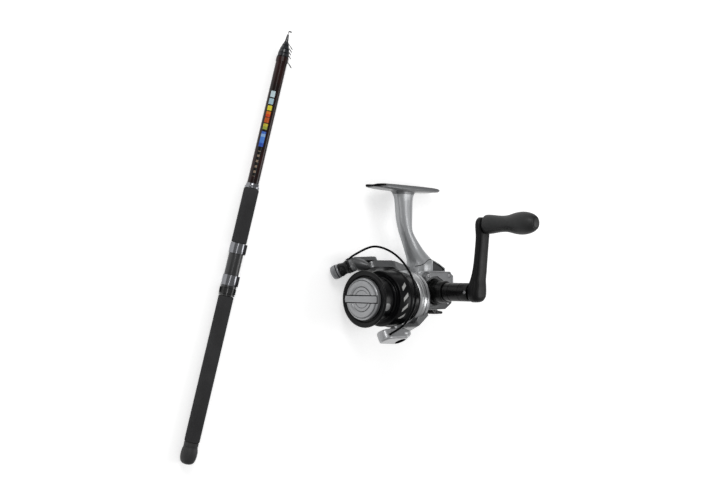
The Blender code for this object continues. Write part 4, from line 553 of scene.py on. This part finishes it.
def soften(piece, voxel, rounds):
    """Remesh to small even faces and relax them, so that corners turn soft as on a casting."""
    apply_step(piece, "REMESH", mode="VOXEL", voxel_size=voxel * MM)
    return apply_step(piece, "SMOOTH", factor=0.5, iterations=rounds)


def finish_piece(piece, body, slot, *stands_for, angle=35.0):
    """Shade a piece smooth, attach it to its body and hide the solid nodes that it stands for.
    The slot is not used.
    """
    pick(piece)
    bpy.ops.object.shade_smooth_by_angle(angle=math.radians(angle))
    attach(piece, body)
    if stands_for:
        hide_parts(*stands_for)
    return piece


def eased(points, steps):
    """More points on a smooth curve through the given ones."""
    ends = [points[0]] + list(points) + [points[-1]]
    line = []
    for index in range(1, len(ends) - 2):
        a, b, c, d = (Vector((*ends[index + shift], 0.0)) for shift in (-1, 0, 1, 2))
        for step in range(steps):
            t = step / steps
            at = 0.5 * (2.0 * b + (c - a) * t + (2.0 * a - 5.0 * b + 4.0 * c - d) * t * t
                        + (3.0 * b - a - 3.0 * c + d) * t ** 3)
            line.append((at.x, at.y))
    return line + [points[-1]]


def repaint(piece, place, finish, test):
    """Give another finish to the faces whose centre, in a plain frame and in millimetres, passes a test."""
    back = place.inverted()
    give(piece, finish)
    for face in piece.data.polygons:
        if test(back @ face.center / MM):
            face.material_index = len(piece.data.materials) - 1


def off_axis(at):
    """Distance of a point from the X axis."""
    return math.hypot(at.y, at.z)


print("helpers ready")

# %% [markdown]
# ## Grips, cap and tube
# The grips are plain foam tubes with sanded edges. The butt cap is a moulded rubber dome,
# slightly fatter than the grip, with a fine groove below its neck. The tube runs inside them
# and shows above the winding check. All are spun about the rod's axis, the world's Y.

# %% Turn the rod's handle pieces
TUBE_ROOM = 5.93


def turn_rod_piece(name, points, finish, slot, stands_for):
    """Turned piece that stays with the rod's handle."""
    piece = place_piece(spin_line(name, points, finish=finish), TURNED)
    return finish_piece(piece, "rod_handle", slot, stands_for)


def ring_line(start, end, radius, bore, edge):
    """Section of a tube with rounded outer edges."""
    return [(start, bore), (start, radius - edge), (start + 0.3 * edge, radius - 0.3 * edge),
            (start + edge, radius), (end - edge, radius), (end - 0.3 * edge, radius - 0.3 * edge),
            (end, radius - edge), (end, bore), (start, bore)]


CAP_DOME = eased([(0.0, 2.4), (0.4, 3.9), (1.4, 5.5), (3.0, 6.6), (6.0, 7.4), (10.3, 7.65), (13.6, 7.3),
                  (15.4, 6.75)], 4)
turn_rod_piece("rubber_cap", [(0.0, 0.0)] + CAP_DOME + [
    (16.4, 6.7), (16.6, 6.45), (17.0, 6.45), (17.2, 6.75), (20.2, 6.75), (20.6, 6.4), (20.6, 5.95),
    (9.8, 5.95), (9.8, 0.0)], CAP_RUBBER, "plastic_black", "butt_cap")
turn_rod_piece("foam_grip_lower", ring_line(20.9, 158.2, 7.1, TUBE_ROOM, 0.9), EVA_FOAM, "foam_black",
               "lower_grip")
turn_rod_piece("foam_grip_upper", ring_line(208.5, 260.5, 7.1, TUBE_ROOM, 0.8), EVA_FOAM, "foam_black",
               "upper_grip")
turn_rod_piece("lacquered_tube", [
    (10.1, 5.08), (10.1, 5.63), (264.0, 5.45), (387.3, 5.35), (387.6, 5.05), (387.6, 4.80),
    (10.1, 5.08)], MAROON, "lacquer_maroon", "butt_section")
print("rod handle pieces turned")

# %% [markdown]
# ## Reel seat
# A graphite barrel carries two chrome hoods that can clamp a reel's foot. The front hood is
# fixed; the rear one slides and is pushed up by a ribbed ring nut. Each hood has a pocket on
# one side. The hood is the hull of two round bars, hollowed by two more, and its bore and its
# pocket side are painted darker chrome as shade. The nut's ribs are thin inset strips.

# %% Model the reel seat
POCKET_LEAN = math.radians(41.0)
POCKET_SIDE = Vector((0.0, math.sin(POCKET_LEAN), math.cos(POCKET_LEAN)))
HOOD_LENGTH, POCKET_SHIFT = 9.7, 4.0
RIBS, BELT_MIDDLE, BELT_HALF, BELT_RADIUS = 56, 163.2, 0.5, 7.6
turn_rod_piece("seat_barrel", ring_line(158.5, 208.2, 6.75, TUBE_ROOM, 0.3), GRAPHITE, "plastic_black",
               "reel_seat_barrel")


def round_bar(name, start, end, radius, side=0.0, finish=None):
    """Round bar along X, moved towards the pocket's side."""
    piece = spin_line(name, [(start, 0.0), (start, radius), (end, radius), (end, 0.0)], 72, finish)
    return place_piece(piece, Matrix.Translation(side * MM * POCKET_SIDE))


def model_hood(name, start, mouth, body, source):
    """Chrome hood; mouth is +1 or -1, the end at which its pocket opens."""
    end = start + HOOD_LENGTH
    hood = round_bar(name, start, end, 7.5, finish=CHROME)
    pocket = round_bar("pocket", start, end, 4.5, POCKET_SHIFT)
    pick(hood)
    pocket.select_set(True)
    bpy.ops.object.join()
    bpy.ops.object.mode_set(mode="EDIT")
    bpy.ops.mesh.select_all(action="SELECT")
    bpy.ops.mesh.convex_hull()
    bpy.ops.object.mode_set(mode="OBJECT")
    ease_edges(hood, 0.35, 3)
    combine(hood, round_bar("bore", start - 2.0, end + 2.0, 7.05), "DIFFERENCE")
    combine(hood, round_bar("room", start + mouth, end + mouth, 4.0, POCKET_SHIFT), "DIFFERENCE")
    # The bore and the pocket side are painted darker chrome as shade.
    repaint(hood, HERE, SHADED_CHROME, lambda at: at.dot(POCKET_SIDE) > 6.4 or off_axis(at) < 7.2)
    place_piece(hood, TURNED)
    return finish_piece(hood, body, "chrome", source, angle=30.0)


model_hood("chrome_hood_fixed", 198.5, -1, "rod_handle", "fixed_hood")
model_hood("chrome_hood_sliding", 168.2, 1, "hood_body", "sliding_hood")
NUT_LINE = [(158.5, 7.05), (158.5, 7.3), (158.8, 7.6), (159.8, 7.6), (160.1, 7.3), (160.4, 7.3),
            (160.6, 7.75), (165.8, 7.75), (166.0, 7.3), (166.3, 7.3), (166.5, 7.6), (167.6, 7.6),
            (167.9, 7.3), (167.9, 7.05), (158.5, 7.05)]
nut = spin_line("ribbed_nut", NUT_LINE, RIBS, NUT_BLACK)
bpy.ops.object.mode_set(mode="EDIT")
bpy.ops.mesh.select_all(action="DESELECT")
bpy.ops.object.mode_set(mode="OBJECT")
for face in nut.data.polygons:
    turn = math.atan2(face.center.z, face.center.y) / (2.0 * math.pi) * RIBS
    middle = abs(face.center.x - BELT_MIDDLE * MM) < BELT_HALF * MM
    belt = middle and off_axis(face.center) > BELT_RADIUS * MM
    face.select = belt and int(math.floor(turn)) % 2 == 0
bpy.ops.object.mode_set(mode="EDIT")
bpy.ops.mesh.select_mode(type="FACE")
bpy.ops.mesh.inset(thickness=0.06 * MM, depth=-0.30 * MM, use_individual=True)
bpy.ops.object.mode_set(mode="OBJECT")
place_piece(nut, TURNED)
finish_piece(nut, "nut_body", "plastic_black", "lock_nut", angle=25.0)
turn_rod_piece("chrome_check", [
    (260.8, TUBE_ROOM), (260.8, 6.6), (261.2, 6.9), (262.3, 6.9), (262.7, 6.5), (263.1, 6.2), (263.5, 6.35),
    (264.0, 6.15), (265.4, 6.0), (265.4, TUBE_ROOM), (260.8, TUBE_ROOM)], CHROME, "chrome", "winding_check")
print("reel seat modelled")

# %% [markdown]
# ## Rod sections and guides
# Closed, the five inner sections show only their front ends, stepped like a small cone, each
# with a wire guide on its side. They are copies of the solid nodes with rounded edges. On
# four of them a lacquered whipping is joined on as a short cone. The guides stay as the solid
# nodes are, in the same lacquer.

# %% Refine the sections
SECTIONS = (("section_2", "section_2_body"), ("section_3", "section_3_body"), ("section_4", "section_4_body"),
            ("section_5", "section_5_body"), ("tip_section", "tip_body"))
CONE_LINE = ((387.7, 5.35), (391.4, 5.2), (395.1, 4.5), (398.8, 3.4), (402.4, 1.9))
for index, (source, body) in enumerate(SECTIONS):
    piece = solid_copy("blank_" + source, source, CONE_BLACK)
    ease_edges(piece, 0.12)
    if index < len(CONE_LINE) - 1:
        rear, wide = CONE_LINE[index]
        front, thin = CONE_LINE[index + 1]
        outer = max(math.hypot(vertex.co.x, vertex.co.z) for vertex in piece.data.vertices
                    if vertex.co.y > (front - 1.0) * MM) / MM
        wide = max(wide, outer + 0.2)
        thin = max(thin, outer + 0.1)
        whipping = spin_line("whipping", [
            (rear + 0.15, outer - 0.2), (rear + 0.15, wide - 0.15), (rear + 0.4, wide),
            (front - 0.5, thin + 0.1), (front - 0.2, thin - 0.1), (front - 0.2, outer - 0.2),
            (rear + 0.15, outer - 0.2)], 64, CONE_BLACK)
        combine(piece, place_piece(whipping, TURNED), "UNION")
        print(source, "radius", round(outer, 2))
    finish_piece(piece, body, "plastic_black", source)
print("sections refined")

# %% [markdown]
# ## Spool
# One turned casting: a skirt behind, the arbor that holds the line, and a wide front lip
# round the drag knob. Small steps and rounded rims catch thin lines of light. The oval pad on
# the arbor holds the line's first turns.

# %% Turn the spool and its oval pad
PAD_GROWTH = 1.35
SPOOL_LINE = [
    (61.0, 2.55), (61.0, 13.0), (64.0, 13.0), (64.0, 26.8), (49.0, 26.8), (49.0, 29.6), (49.3, 30.0),
    (50.6, 30.0), (51.0, 29.7), (51.2, 29.2), (51.8, 28.9), (52.6, 28.6), (65.4, 28.6), (65.7, 28.35),
    (66.2, 28.35), (66.7, 28.0), (67.0, 27.3), (67.0, 25.4), (66.6, 25.1), (66.6, 24.4), (67.0, 24.1),
    (67.0, 22.0), (67.8, 21.2), (69.0, 21.0), (70.4, 21.0), (70.8, 21.3), (71.3, 21.3), (71.7, 21.0),
    (86.0, 21.0), (87.6, 21.5), (88.3, 22.8), (88.5, 26.6), (88.9, 27.9), (89.6, 28.5), (90.4, 28.7),
    (91.2, 28.55), (91.8, 28.0), (92.0, 27.2), (91.8, 26.2), (91.3, 24.9), (91.2, 24.3), (90.9, 23.6),
    (89.8, 22.7), (89.6, 22.6), (89.6, 16.5), (80.0, 16.5), (80.0, 2.55), (61.0, 2.55)]
spool = place_piece(spin_line("black_spool", SPOOL_LINE, 128, SPOOL_BLACK), REEL)
finish_piece(spool, "spool_body", "plastic_black", "spool", angle=40.0)
pad = solid_copy("oval_pad", "arbor_insert", PAD_SILVER)
pick(pad)
pad_middle = sum((pad.matrix_world @ Vector(corner) for corner in pad.bound_box), Vector()) / 8.0
bpy.ops.transform.resize(value=(PAD_GROWTH, PAD_GROWTH, PAD_GROWTH), center_override=pad_middle)
bpy.ops.object.transform_apply(location=True, rotation=True, scale=True)
ease_edges(pad, 0.25)
finish_piece(pad, "spool_body", "nylon_white", "arbor_insert")
print("spool turned")

# %% [markdown]
# ## Drag knob
# A silver disc with turned steps fills the spool's face, its three grooves painted grey as shade.
# A bar to grip runs across it in a shallow channel, whose floor lies in shadow. The channel is
# cut by a dark box, which leaves a painted shadow on the floor, and then the bar is set in it.

# %% Turn the drag knob and set its bar
KNOB_LINE = [
    (94.3, 0.0), (94.3, 2.55), (87.1, 2.55), (87.1, 10.0), (89.9, 10.0), (89.9, 20.9), (90.2, 21.2),
    (93.0, 21.2), (93.9, 21.0), (94.5, 20.4), (94.9, 19.5), (94.6, 19.1), (94.6, 18.7), (95.6, 18.2),
    (95.8, 17.5), (95.3, 13.1), (95.0, 12.8), (94.6, 12.5), (94.6, 12.1), (95.1, 11.9), (95.2, 11.5),
    (94.9, 9.2), (94.6, 9.0), (94.6, 8.7), (95.0, 8.3), (94.8, 3.0), (94.75, 0.0)]
GROOVES = ((8.85, 0.2), (12.3, 0.3), (18.9, 0.25))
knob = spin_line("silver_drag_knob", KNOB_LINE, 128, SATIN_SILVER)
# The three grooves are painted grey as shade.
repaint(knob, HERE, RECESS_SHADE, lambda at: 93.0 < at.x < 94.65 and any(
    abs(off_axis(at) - middle) < half for middle, half in GROOVES))
channel = extrude_outline("channel", [(-23.0, -4.1), (23.0, -4.1), (23.0, 4.1), (-23.0, 4.1)], 94.0, 99.0,
                          SHADOW_BLACK)
combine(knob, place_piece(channel, TURNED), "DIFFERENCE")
place_piece(knob, REEL)
finish_piece(knob, "drag_knob_body", "silver_paint", "drag_knob", angle=40.0)
bar = extrude_outline("drag_bar", [(-20.4, -3.2), (20.4, -3.2), (20.9, 0.0), (20.4, 3.2), (-20.4, 3.2),
                                   (-20.9, 0.0)], 93.7, 96.6, SATIN_SILVER)
ease_edges(place_piece(bar, TURNED), 0.5, 3, 40.0)
place_piece(bar, REEL)
finish_piece(bar, "drag_knob_body", "silver_paint")
print("drag knob made")

# %% [markdown]
# ## Rotor
# The rotor is a black drum behind the spool, with a silver rear plate and two arms that carry
# the bail. The drum and the plate's rim are turned, with a bright inner band, a fine groove
# and a duller outer band. The arms are cast: a copy of the solid, cut free of the drum and
# relaxed.

# %% Turn the drum and relax the arms
DRUM_LINE = [
    (20.0, 25.7), (20.0, 28.2), (20.4, 28.9), (21.4, 29.35), (23.6, 29.4), (25.2, 29.25), (25.4, 28.7),
    (25.9, 28.7), (26.1, 29.15), (28.2, 28.9), (29.9, 28.55), (30.1, 28.35), (30.1, 26.2), (33.9, 26.1),
    (53.4, 26.0), (53.8, 25.7), (54.0, 25.2), (54.0, 24.0), (33.0, 24.0), (33.0, 8.5), (44.0, 8.5),
    (44.0, 4.2), (24.0, 4.2), (24.0, 25.7), (20.0, 25.7)]
drum = spin_line("rotor_drum", DRUM_LINE, 128, DRUM_BLACK)
# The fine groove between the plate's bands is painted black as shade.
for look, low, high, inner in ((LEVER_SILVER, 0.0, 25.3, 25.0), (SHADOW_BLACK, 25.25, 26.05, 25.0),
                               (BRIGHT_RIM, 26.05, 30.15, 26.4)):
    repaint(drum, HERE, look, lambda at: low < at.x < high and off_axis(at) > inner)
place_piece(drum, REEL)
finish_piece(drum, "rotor_body", "graphite_grey", "rotor")
band = place_piece(spin_line("rotor_band", [
    (30.3, 26.3), (30.3, 28.3), (30.5, 28.45), (33.3, 27.8), (33.9, 27.2), (34.0, 26.3), (30.3, 26.3)],
    128, BRIGHT_RIM), REEL)
finish_piece(band, "rotor_body", "plastic_black", "rotor_trim_ring")
arms = solid_copy("rotor_arms", "rotor", ARM_GREY)
drum_room = spin_line("drum_room", [(18.0, 0.0), (18.0, 27.8), (60.0, 27.8), (60.0, 0.0)])
combine(arms, place_piece(drum_room, REEL), "DIFFERENCE")
soften(arms, 0.42, 9)
finish_piece(arms, "rotor_body", "graphite_grey", "rotor", angle=60.0)
print("rotor arms have", len(arms.data.polygons), "faces")

# %% [markdown]
# ## Bail
# The bail picks up the line. A wire loop runs from a thick lever at the lower arm to the line
# roller on the upper arm. The fairing arm and the lever are castings, so they are relaxed
# copies: an oval dome is joined to the arm and cut open for the roller, and a rounded hub
# with a sunk screw is joined to the lever. The wire's end is drawn forward and down to the
# roller by a proportional edit. The roller and its cap are turned.

# %% Model the bail
WIRE_END, WIRE_PULL = 3.0, 22.0
bail_arm = solid_copy("bail_fairing_arm", "bail_arm", ARM_GREY)
dome = ellipsoid("dome", (16.5, 7.6, 5.4), (80.0, 0.0, 38.8), ROTOR, math.radians(16.0))
combine(bail_arm, dome, "UNION")
roller_room = spin_line("roller_room", [(-25.0, 0.0), (-25.0, 7.7), (-0.9, 7.7), (-0.9, 0.0)], 48)
combine(bail_arm, place_piece(roller_room, ROLLER), "DIFFERENCE")
soften(bail_arm, 0.32, 8)
repaint(bail_arm, ROLLER, GLOSS_ABS, lambda at: -3.0 < at.x < 1.4 and off_axis(at) < 8.6)
finish_piece(bail_arm, "bail_body", "graphite_grey", "bail_arm", angle=60.0)
lever = solid_copy("bail_lever_cast", "bail_lever", LEVER_SILVER)
combine(lever, ellipsoid("hub", (13.0, 9.0, 5.2), (56.5, 1.0, -41.5), ROTOR), "UNION")
rotor_room = spin_line("rotor_room", [(15.0, 0.0), (15.0, 30.6), (75.0, 30.6), (75.0, 0.0)])
combine(lever, place_piece(rotor_room, REEL), "DIFFERENCE")
soften(lever, 0.34, 60)
# The screw's well in the hub is painted black as shade.
screw_well = spin_line("screw_well_lever", [
    (-52.0, 0.0), (-52.0, 6.6), (-45.9, 5.4), (-42.2, 5.0), (-42.2, 0.0)], 48, SHADOW_BLACK)
combine(lever, place_piece(screw_well, ROTOR @ swapped(60.0 * MM)), "DIFFERENCE")
finish_piece(lever, "bail_body", "silver_paint", "bail_lever", angle=60.0)
loop = solid_copy("bail_loop_wire", "bail_wire", WIRE_BLACK)
reach = {vertex.index: (vertex.co - ROLLER_PLACE).length for vertex in loop.data.vertices}
nearest = min(reach.values())
pick(loop)
bpy.ops.object.mode_set(mode="EDIT")
bpy.ops.mesh.select_mode(type="VERT")
bpy.ops.mesh.select_all(action="DESELECT")
bpy.ops.object.mode_set(mode="OBJECT")
for vertex in loop.data.vertices:
    vertex.select = reach[vertex.index] < nearest + WIRE_END * MM
bpy.ops.object.mode_set(mode="EDIT")
bpy.ops.transform.translate(value=5.5 * MM * FORWARD - 3.0 * MM * UP, use_proportional_edit=True,
                            proportional_size=WIRE_PULL * MM, proportional_edit_falloff="SMOOTH")
bpy.ops.object.mode_set(mode="OBJECT")
apply_step(loop, "SUBSURF", levels=1, render_levels=1)
finish_piece(loop, "bail_body", "plastic_black", "bail_wire", angle=60.0)
roller = spin_line("grooved_roller", [
    (-1.5, 1.6), (-1.5, 6.9), (-1.8, 7.1), (-2.8, 7.1), (-3.6, 6.5), (-5.4, 6.1), (-7.4, 6.3), (-9.2, 6.9),
    (-10.8, 7.0), (-11.1, 6.7), (-11.1, 1.6), (-1.5, 1.6)], 64, GLOSS_ABS)
place_piece(roller, ROLLER)
finish_piece(roller, "roller_body", "plastic_black", "line_roller", angle=40.0)
cap_nut = spin_line("silver_roller_cap", [
    (2.7, 0.0), (2.7, 1.35), (-11.4, 1.35), (-11.4, 6.3), (-11.9, 6.9), (-12.6, 7.2), (-13.4, 7.2),
    (-13.5, 6.8), (-14.2, 6.8), (-14.3, 7.3), (-16.5, 7.35), (-18.4, 7.0), (-19.6, 6.0), (-20.3, 4.4),
    (-20.55, 2.2), (-20.6, 0.0)], 64, SMOKE_SILVER)
# The groove round the cap is painted black as shade.
repaint(cap_nut, HERE, SHADOW_BLACK, lambda at: -14.3 < at.x < -13.35 and off_axis(at) > 5.0)
place_piece(cap_nut, ROLLER)
finish_piece(cap_nut, "bail_body", "silver_paint", "roller_screw", angle=40.0)
print("bail modelled")

# %% [markdown]
# ## Casing
# The gear casing, the leg and the foot are one casting, sprayed silver. The side cover closes
# it. A fine curved seam parts the leg from the cover, a web behind the leg lies deeper and is
# painted dark as shade, and the cover has a window round the handle's boss painted black as
# shade. All three are cut by dark tools. The foot is duller than the leg, its front tip is
# painted black as shade, and the casing's lower half is painted graphite grey as shade.

# %% Relax the casing and cut its seams
casing = solid_copy("silver_casing", "reel_body", SILVER_PAINT)
soften(casing, 0.60, 6)
REEL_SIDE = REEL @ axes_matrix((1.0, 0.0, 0.0), (0.0, 0.0, 1.0), (0.0, -1.0, 0.0), (0.0, 0.0, 0.0))


def side_cut(piece, name, outline, low, high, finish):
    """Cut an (x, height) outline into the casing's side, from low to high across it."""
    tool = extrude_outline(name, outline, -high, -low, finish)
    return combine(piece, place_piece(tool, REEL_SIDE), "DIFFERENCE")


FOOT_FROM, PAINTED_SHADE_BELOW, COVER_PAINTED_SHADE_BELOW = 108.0, 6.0, 12.0
SEAM = eased([(20.0, 31.6), (15.0, 32.6), (9.0, 34.6), (4.0, 37.6), (-1.0, 39.6), (-6.6, 40.2)], 4)
seam_loop = SEAM + [(x, z + 0.75) for x, z in reversed(SEAM)]
side_cut(casing, "seam", seam_loop, 5.0, 22.0, SHADOW_BLACK)
# The web's recess is painted dark as shade.
side_cut(casing, "web_recess", [(-6.6, 28.2), (-6.6, 39.0), (-18.0, 35.0), (-27.5, 30.4), (-27.5, 28.2)],
         10.2, 16.0, WEB_SHADE)
repaint(casing, REEL, COVER_SILVER, lambda at: at.z > FOOT_FROM)
# The casing's lower half is painted graphite grey as shade.
repaint(casing, REEL, LOWER_SHADE_PAINT, lambda at: at.z < PAINTED_SHADE_BELOW and at.x < 15.0)
# The foot's front tip is painted black as shade.
TIP_FROM, TIP_END, TIP_HEIGHT, TIP_SLOPE = 68.0, 81.0, 113.2, 0.10
repaint(casing, REEL, SHADOW_BLACK,
        lambda at: at.x > TIP_FROM and at.z > TIP_HEIGHT + TIP_SLOPE * (TIP_END - at.x))
finish_piece(casing, "reel_frame", "silver_paint", "reel_body", angle=60.0)
cover = solid_copy("silver_side_cover", "side_cover", COVER_SILVER)
soften(cover, 0.45, 5)
# The window round the boss is a shallow recess painted black as shade.
side_cut(cover, "boss_window", [
    (14.7, 16.8), (9.0, 20.6), (2.0, 22.6), (-4.0, 22.6), (-9.0, 20.4), (-19.0, 16.0), (-29.6, 15.0),
    (-29.6, -1.6), (-19.4, -5.2), (8.0, -9.4), (14.7, -6.0)], 19.0, 24.0, SHADOW_BLACK)
# The cover's lower part is painted graphite grey as shade.
repaint(cover, REEL, LOWER_SHADE_PAINT, lambda at: at.z < COVER_PAINTED_SHADE_BELOW)
finish_piece(cover, "reel_frame", "silver_paint", "side_cover", angle=60.0)
back_cap = solid_copy("rear_cap", "rear_cover", SMOKE_SILVER)
soften(back_cap, 0.40, 5)
finish_piece(back_cap, "reel_frame", "graphite_grey", "rear_cover", angle=60.0)
print("casing has", len(casing.data.polygons), "faces")

# %% [markdown]
# ## Handle
# The handle screws into the casing's side through a stepped black boss. A sleeve with two
# seam rings leads to a cranked arm of satin nylon, and a waisted rubber knob spins on the end
# of the arm.

# %% Turn the boss, sleeve and knob, and relax the arm
KNOB_REACH = 0.069
CRANK_FRAME = axes_matrix(SIDE, UP, FORWARD, CRANK)
KNOB_FRAME = axes_matrix(SIDE, UP, FORWARD, CRANK + KNOB_REACH * UP)
boss = spin_line("stepped_boss", [
    (13.0, 3.7), (13.0, 13.0), (20.2, 13.0), (21.2, 12.7), (21.5, 12.2), (21.5, 11.9), (26.6, 11.85),
    (26.8, 11.45), (27.4, 11.45), (27.6, 11.8), (34.1, 11.6), (34.8, 11.2), (35.0, 10.6), (35.0, 3.7),
    (17.3, 3.7), (13.0, 3.7)], finish=GLOSS_ABS)
place_piece(boss, CRANK_FRAME)
finish_piece(boss, "reel_frame", "plastic_black", "handle_boss")
sleeve = spin_line("seamed_sleeve", [
    (62.3, 0.0), (62.3, 3.7), (35.3, 3.7), (35.3, 9.1), (35.9, 9.7), (42.0, 9.7), (42.2, 9.35), (42.7, 9.35),
    (42.9, 9.7), (54.6, 9.6), (54.8, 9.25), (55.3, 9.25), (55.5, 9.6), (65.2, 9.6), (65.8, 9.3), (66.0, 8.8),
    (66.0, 0.0)], finish=GLOSS_ABS)
well = spin_line("screw_well", [(5.6, 0.0), (5.6, 1.9), (12.0, 1.9), (12.0, 0.0)], 32)
combine(sleeve, place_piece(well, swapped(64.0 * MM)), "DIFFERENCE")
place_piece(sleeve, CRANK_FRAME)
finish_piece(sleeve, "crank_body", "plastic_black", "handle_sleeve")
arm = solid_copy("cranked_arm", "handle_arm", NYLON_BLACK)
soften(arm, 0.45, 10)
finish_piece(arm, "crank_body", "plastic_black", "handle_arm", angle=60.0)
KNOB_SIDE = eased([(85.0, 8.7), (85.3, 9.4), (86.3, 9.8), (89.0, 9.8), (92.9, 9.5), (97.5, 8.9), (102.0, 8.4),
                   (107.0, 8.2), (112.0, 8.6), (117.0, 9.8), (122.0, 10.9), (127.0, 11.4), (131.5, 11.2),
                   (136.0, 10.3), (139.8, 8.8), (142.2, 7.2), (143.0, 6.4)], 3)
rubber = spin_line("rubber_knob", [(85.0, 3.3)] + KNOB_SIDE + [
    (143.0, 5.9), (139.4, 5.9), (139.4, 3.3), (85.0, 3.3)], finish=KNOB_RUBBER)
place_piece(rubber, KNOB_FRAME)
finish_piece(rubber, "knob_body", "rubber_black", "handle_knob", angle=40.0)
cap = spin_line("knob_end_cap", [(139.7, 0.0), (139.7, 5.6), (142.5, 5.6), (143.1, 5.2), (143.5, 4.0),
                                 (143.7, 2.0), (143.8, 0.0)], 64, KNOB_RUBBER)
place_piece(cap, KNOB_FRAME)
finish_piece(cap, "knob_body", "plastic_black", "knob_cap", angle=40.0)
print("handle modelled")

# %% [markdown]
# ## Table and light
# A wide white table carries the tackle and its soft shadow. It glows a little for the camera
# and for reflections, so it reads as white paper without any more light on the tackle. A key
# lamp and a side lamp light the pieces from above, a long narrow lamp lays a streak along the
# rod, and an even sky fills the shadows. The sky is full white only where the camera sees it.

# %% Table, lamps and sky
TABLE_GLOW, SKY_LEVEL = 0.50, 0.34
TABLE_HEIGHT = min(SOLID_BOX[0][2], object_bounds()[0][2]) - 0.0003
bpy.ops.object.select_all(action="DESELECT")
bpy.ops.mesh.primitive_plane_add(size=8.0, location=(0.0, 0.0, TABLE_HEIGHT))
table = bpy.context.object
table.name = "table"
bpy.ops.object.transform_apply(location=True, rotation=True, scale=True)
paper, paper_shader = new_material("white_paper", {
    "Base Color": linear("#f4f4f4"), "Roughness": 0.9, "Emission Color": linear("#ffffff")})
path = node(paper, "ShaderNodeLightPath")
seen = path["Is Camera Ray"]
for other in ("Is Glossy Ray", "Is Transmission Ray"):
    seen = node(paper, MATHS, {"operation": "MAXIMUM"}, None, {0: seen, 1: path[other]})[0]
glow = node(paper, MATHS, {"operation": "MULTIPLY"}, {1: TABLE_GLOW}, {0: seen})[0]
feed(paper, paper_shader, {"Emission Strength": glow})
give(table, paper)


def soft_lamp(name, place, aim, size, power, length=None):
    """Round soft lamp, or a strip where a length is given; the strip runs along the rod."""
    lamp_data = bpy.data.lights.new(name, "AREA")
    lamp_data.shape = "RECTANGLE" if length else "DISK"
    lamp_data.size = length or size
    if length:
        lamp_data.size_y = size
    lamp_data.energy = power
    lamp = bpy.data.objects.new(name, lamp_data)
    bpy.context.scene.collection.objects.link(lamp)
    lamp.location = place
    heading = Vector(aim) - Vector(place)
    lamp.rotation_euler = heading.to_track_quat("-Z", "Y").to_euler()


MIDDLE = (0.12, 0.22, 0.02)
soft_lamp("key_lamp", (-0.65, 0.95, 0.75), MIDDLE, 0.5, 4.0)
soft_lamp("strip_lamp", (-0.68, 0.40, 0.96), (0.0, 0.25, 0.0), 0.12, 3.0, 2.4)
soft_lamp("side_lamp", (0.95, 0.30, 0.80), MIDDLE, 0.6, 3.0)
sky = bpy.data.worlds.new("even_sky")
bpy.context.scene.world = sky
sky.use_nodes = True
back = sky.node_tree.nodes["Background"]
back.inputs["Color"].default_value = linear("#ffffff")
direct = node(sky, "ShaderNodeLightPath")["Is Camera Ray"]
level = node(sky, RANGE, None, {"To Min": SKY_LEVEL, "To Max": 1.0}, {"Value": direct})[0]
feed(sky, back, {"Strength": level})
bpy.context.scene.view_settings.view_transform = "Standard"
print("table at", round(TABLE_HEIGHT, 4))
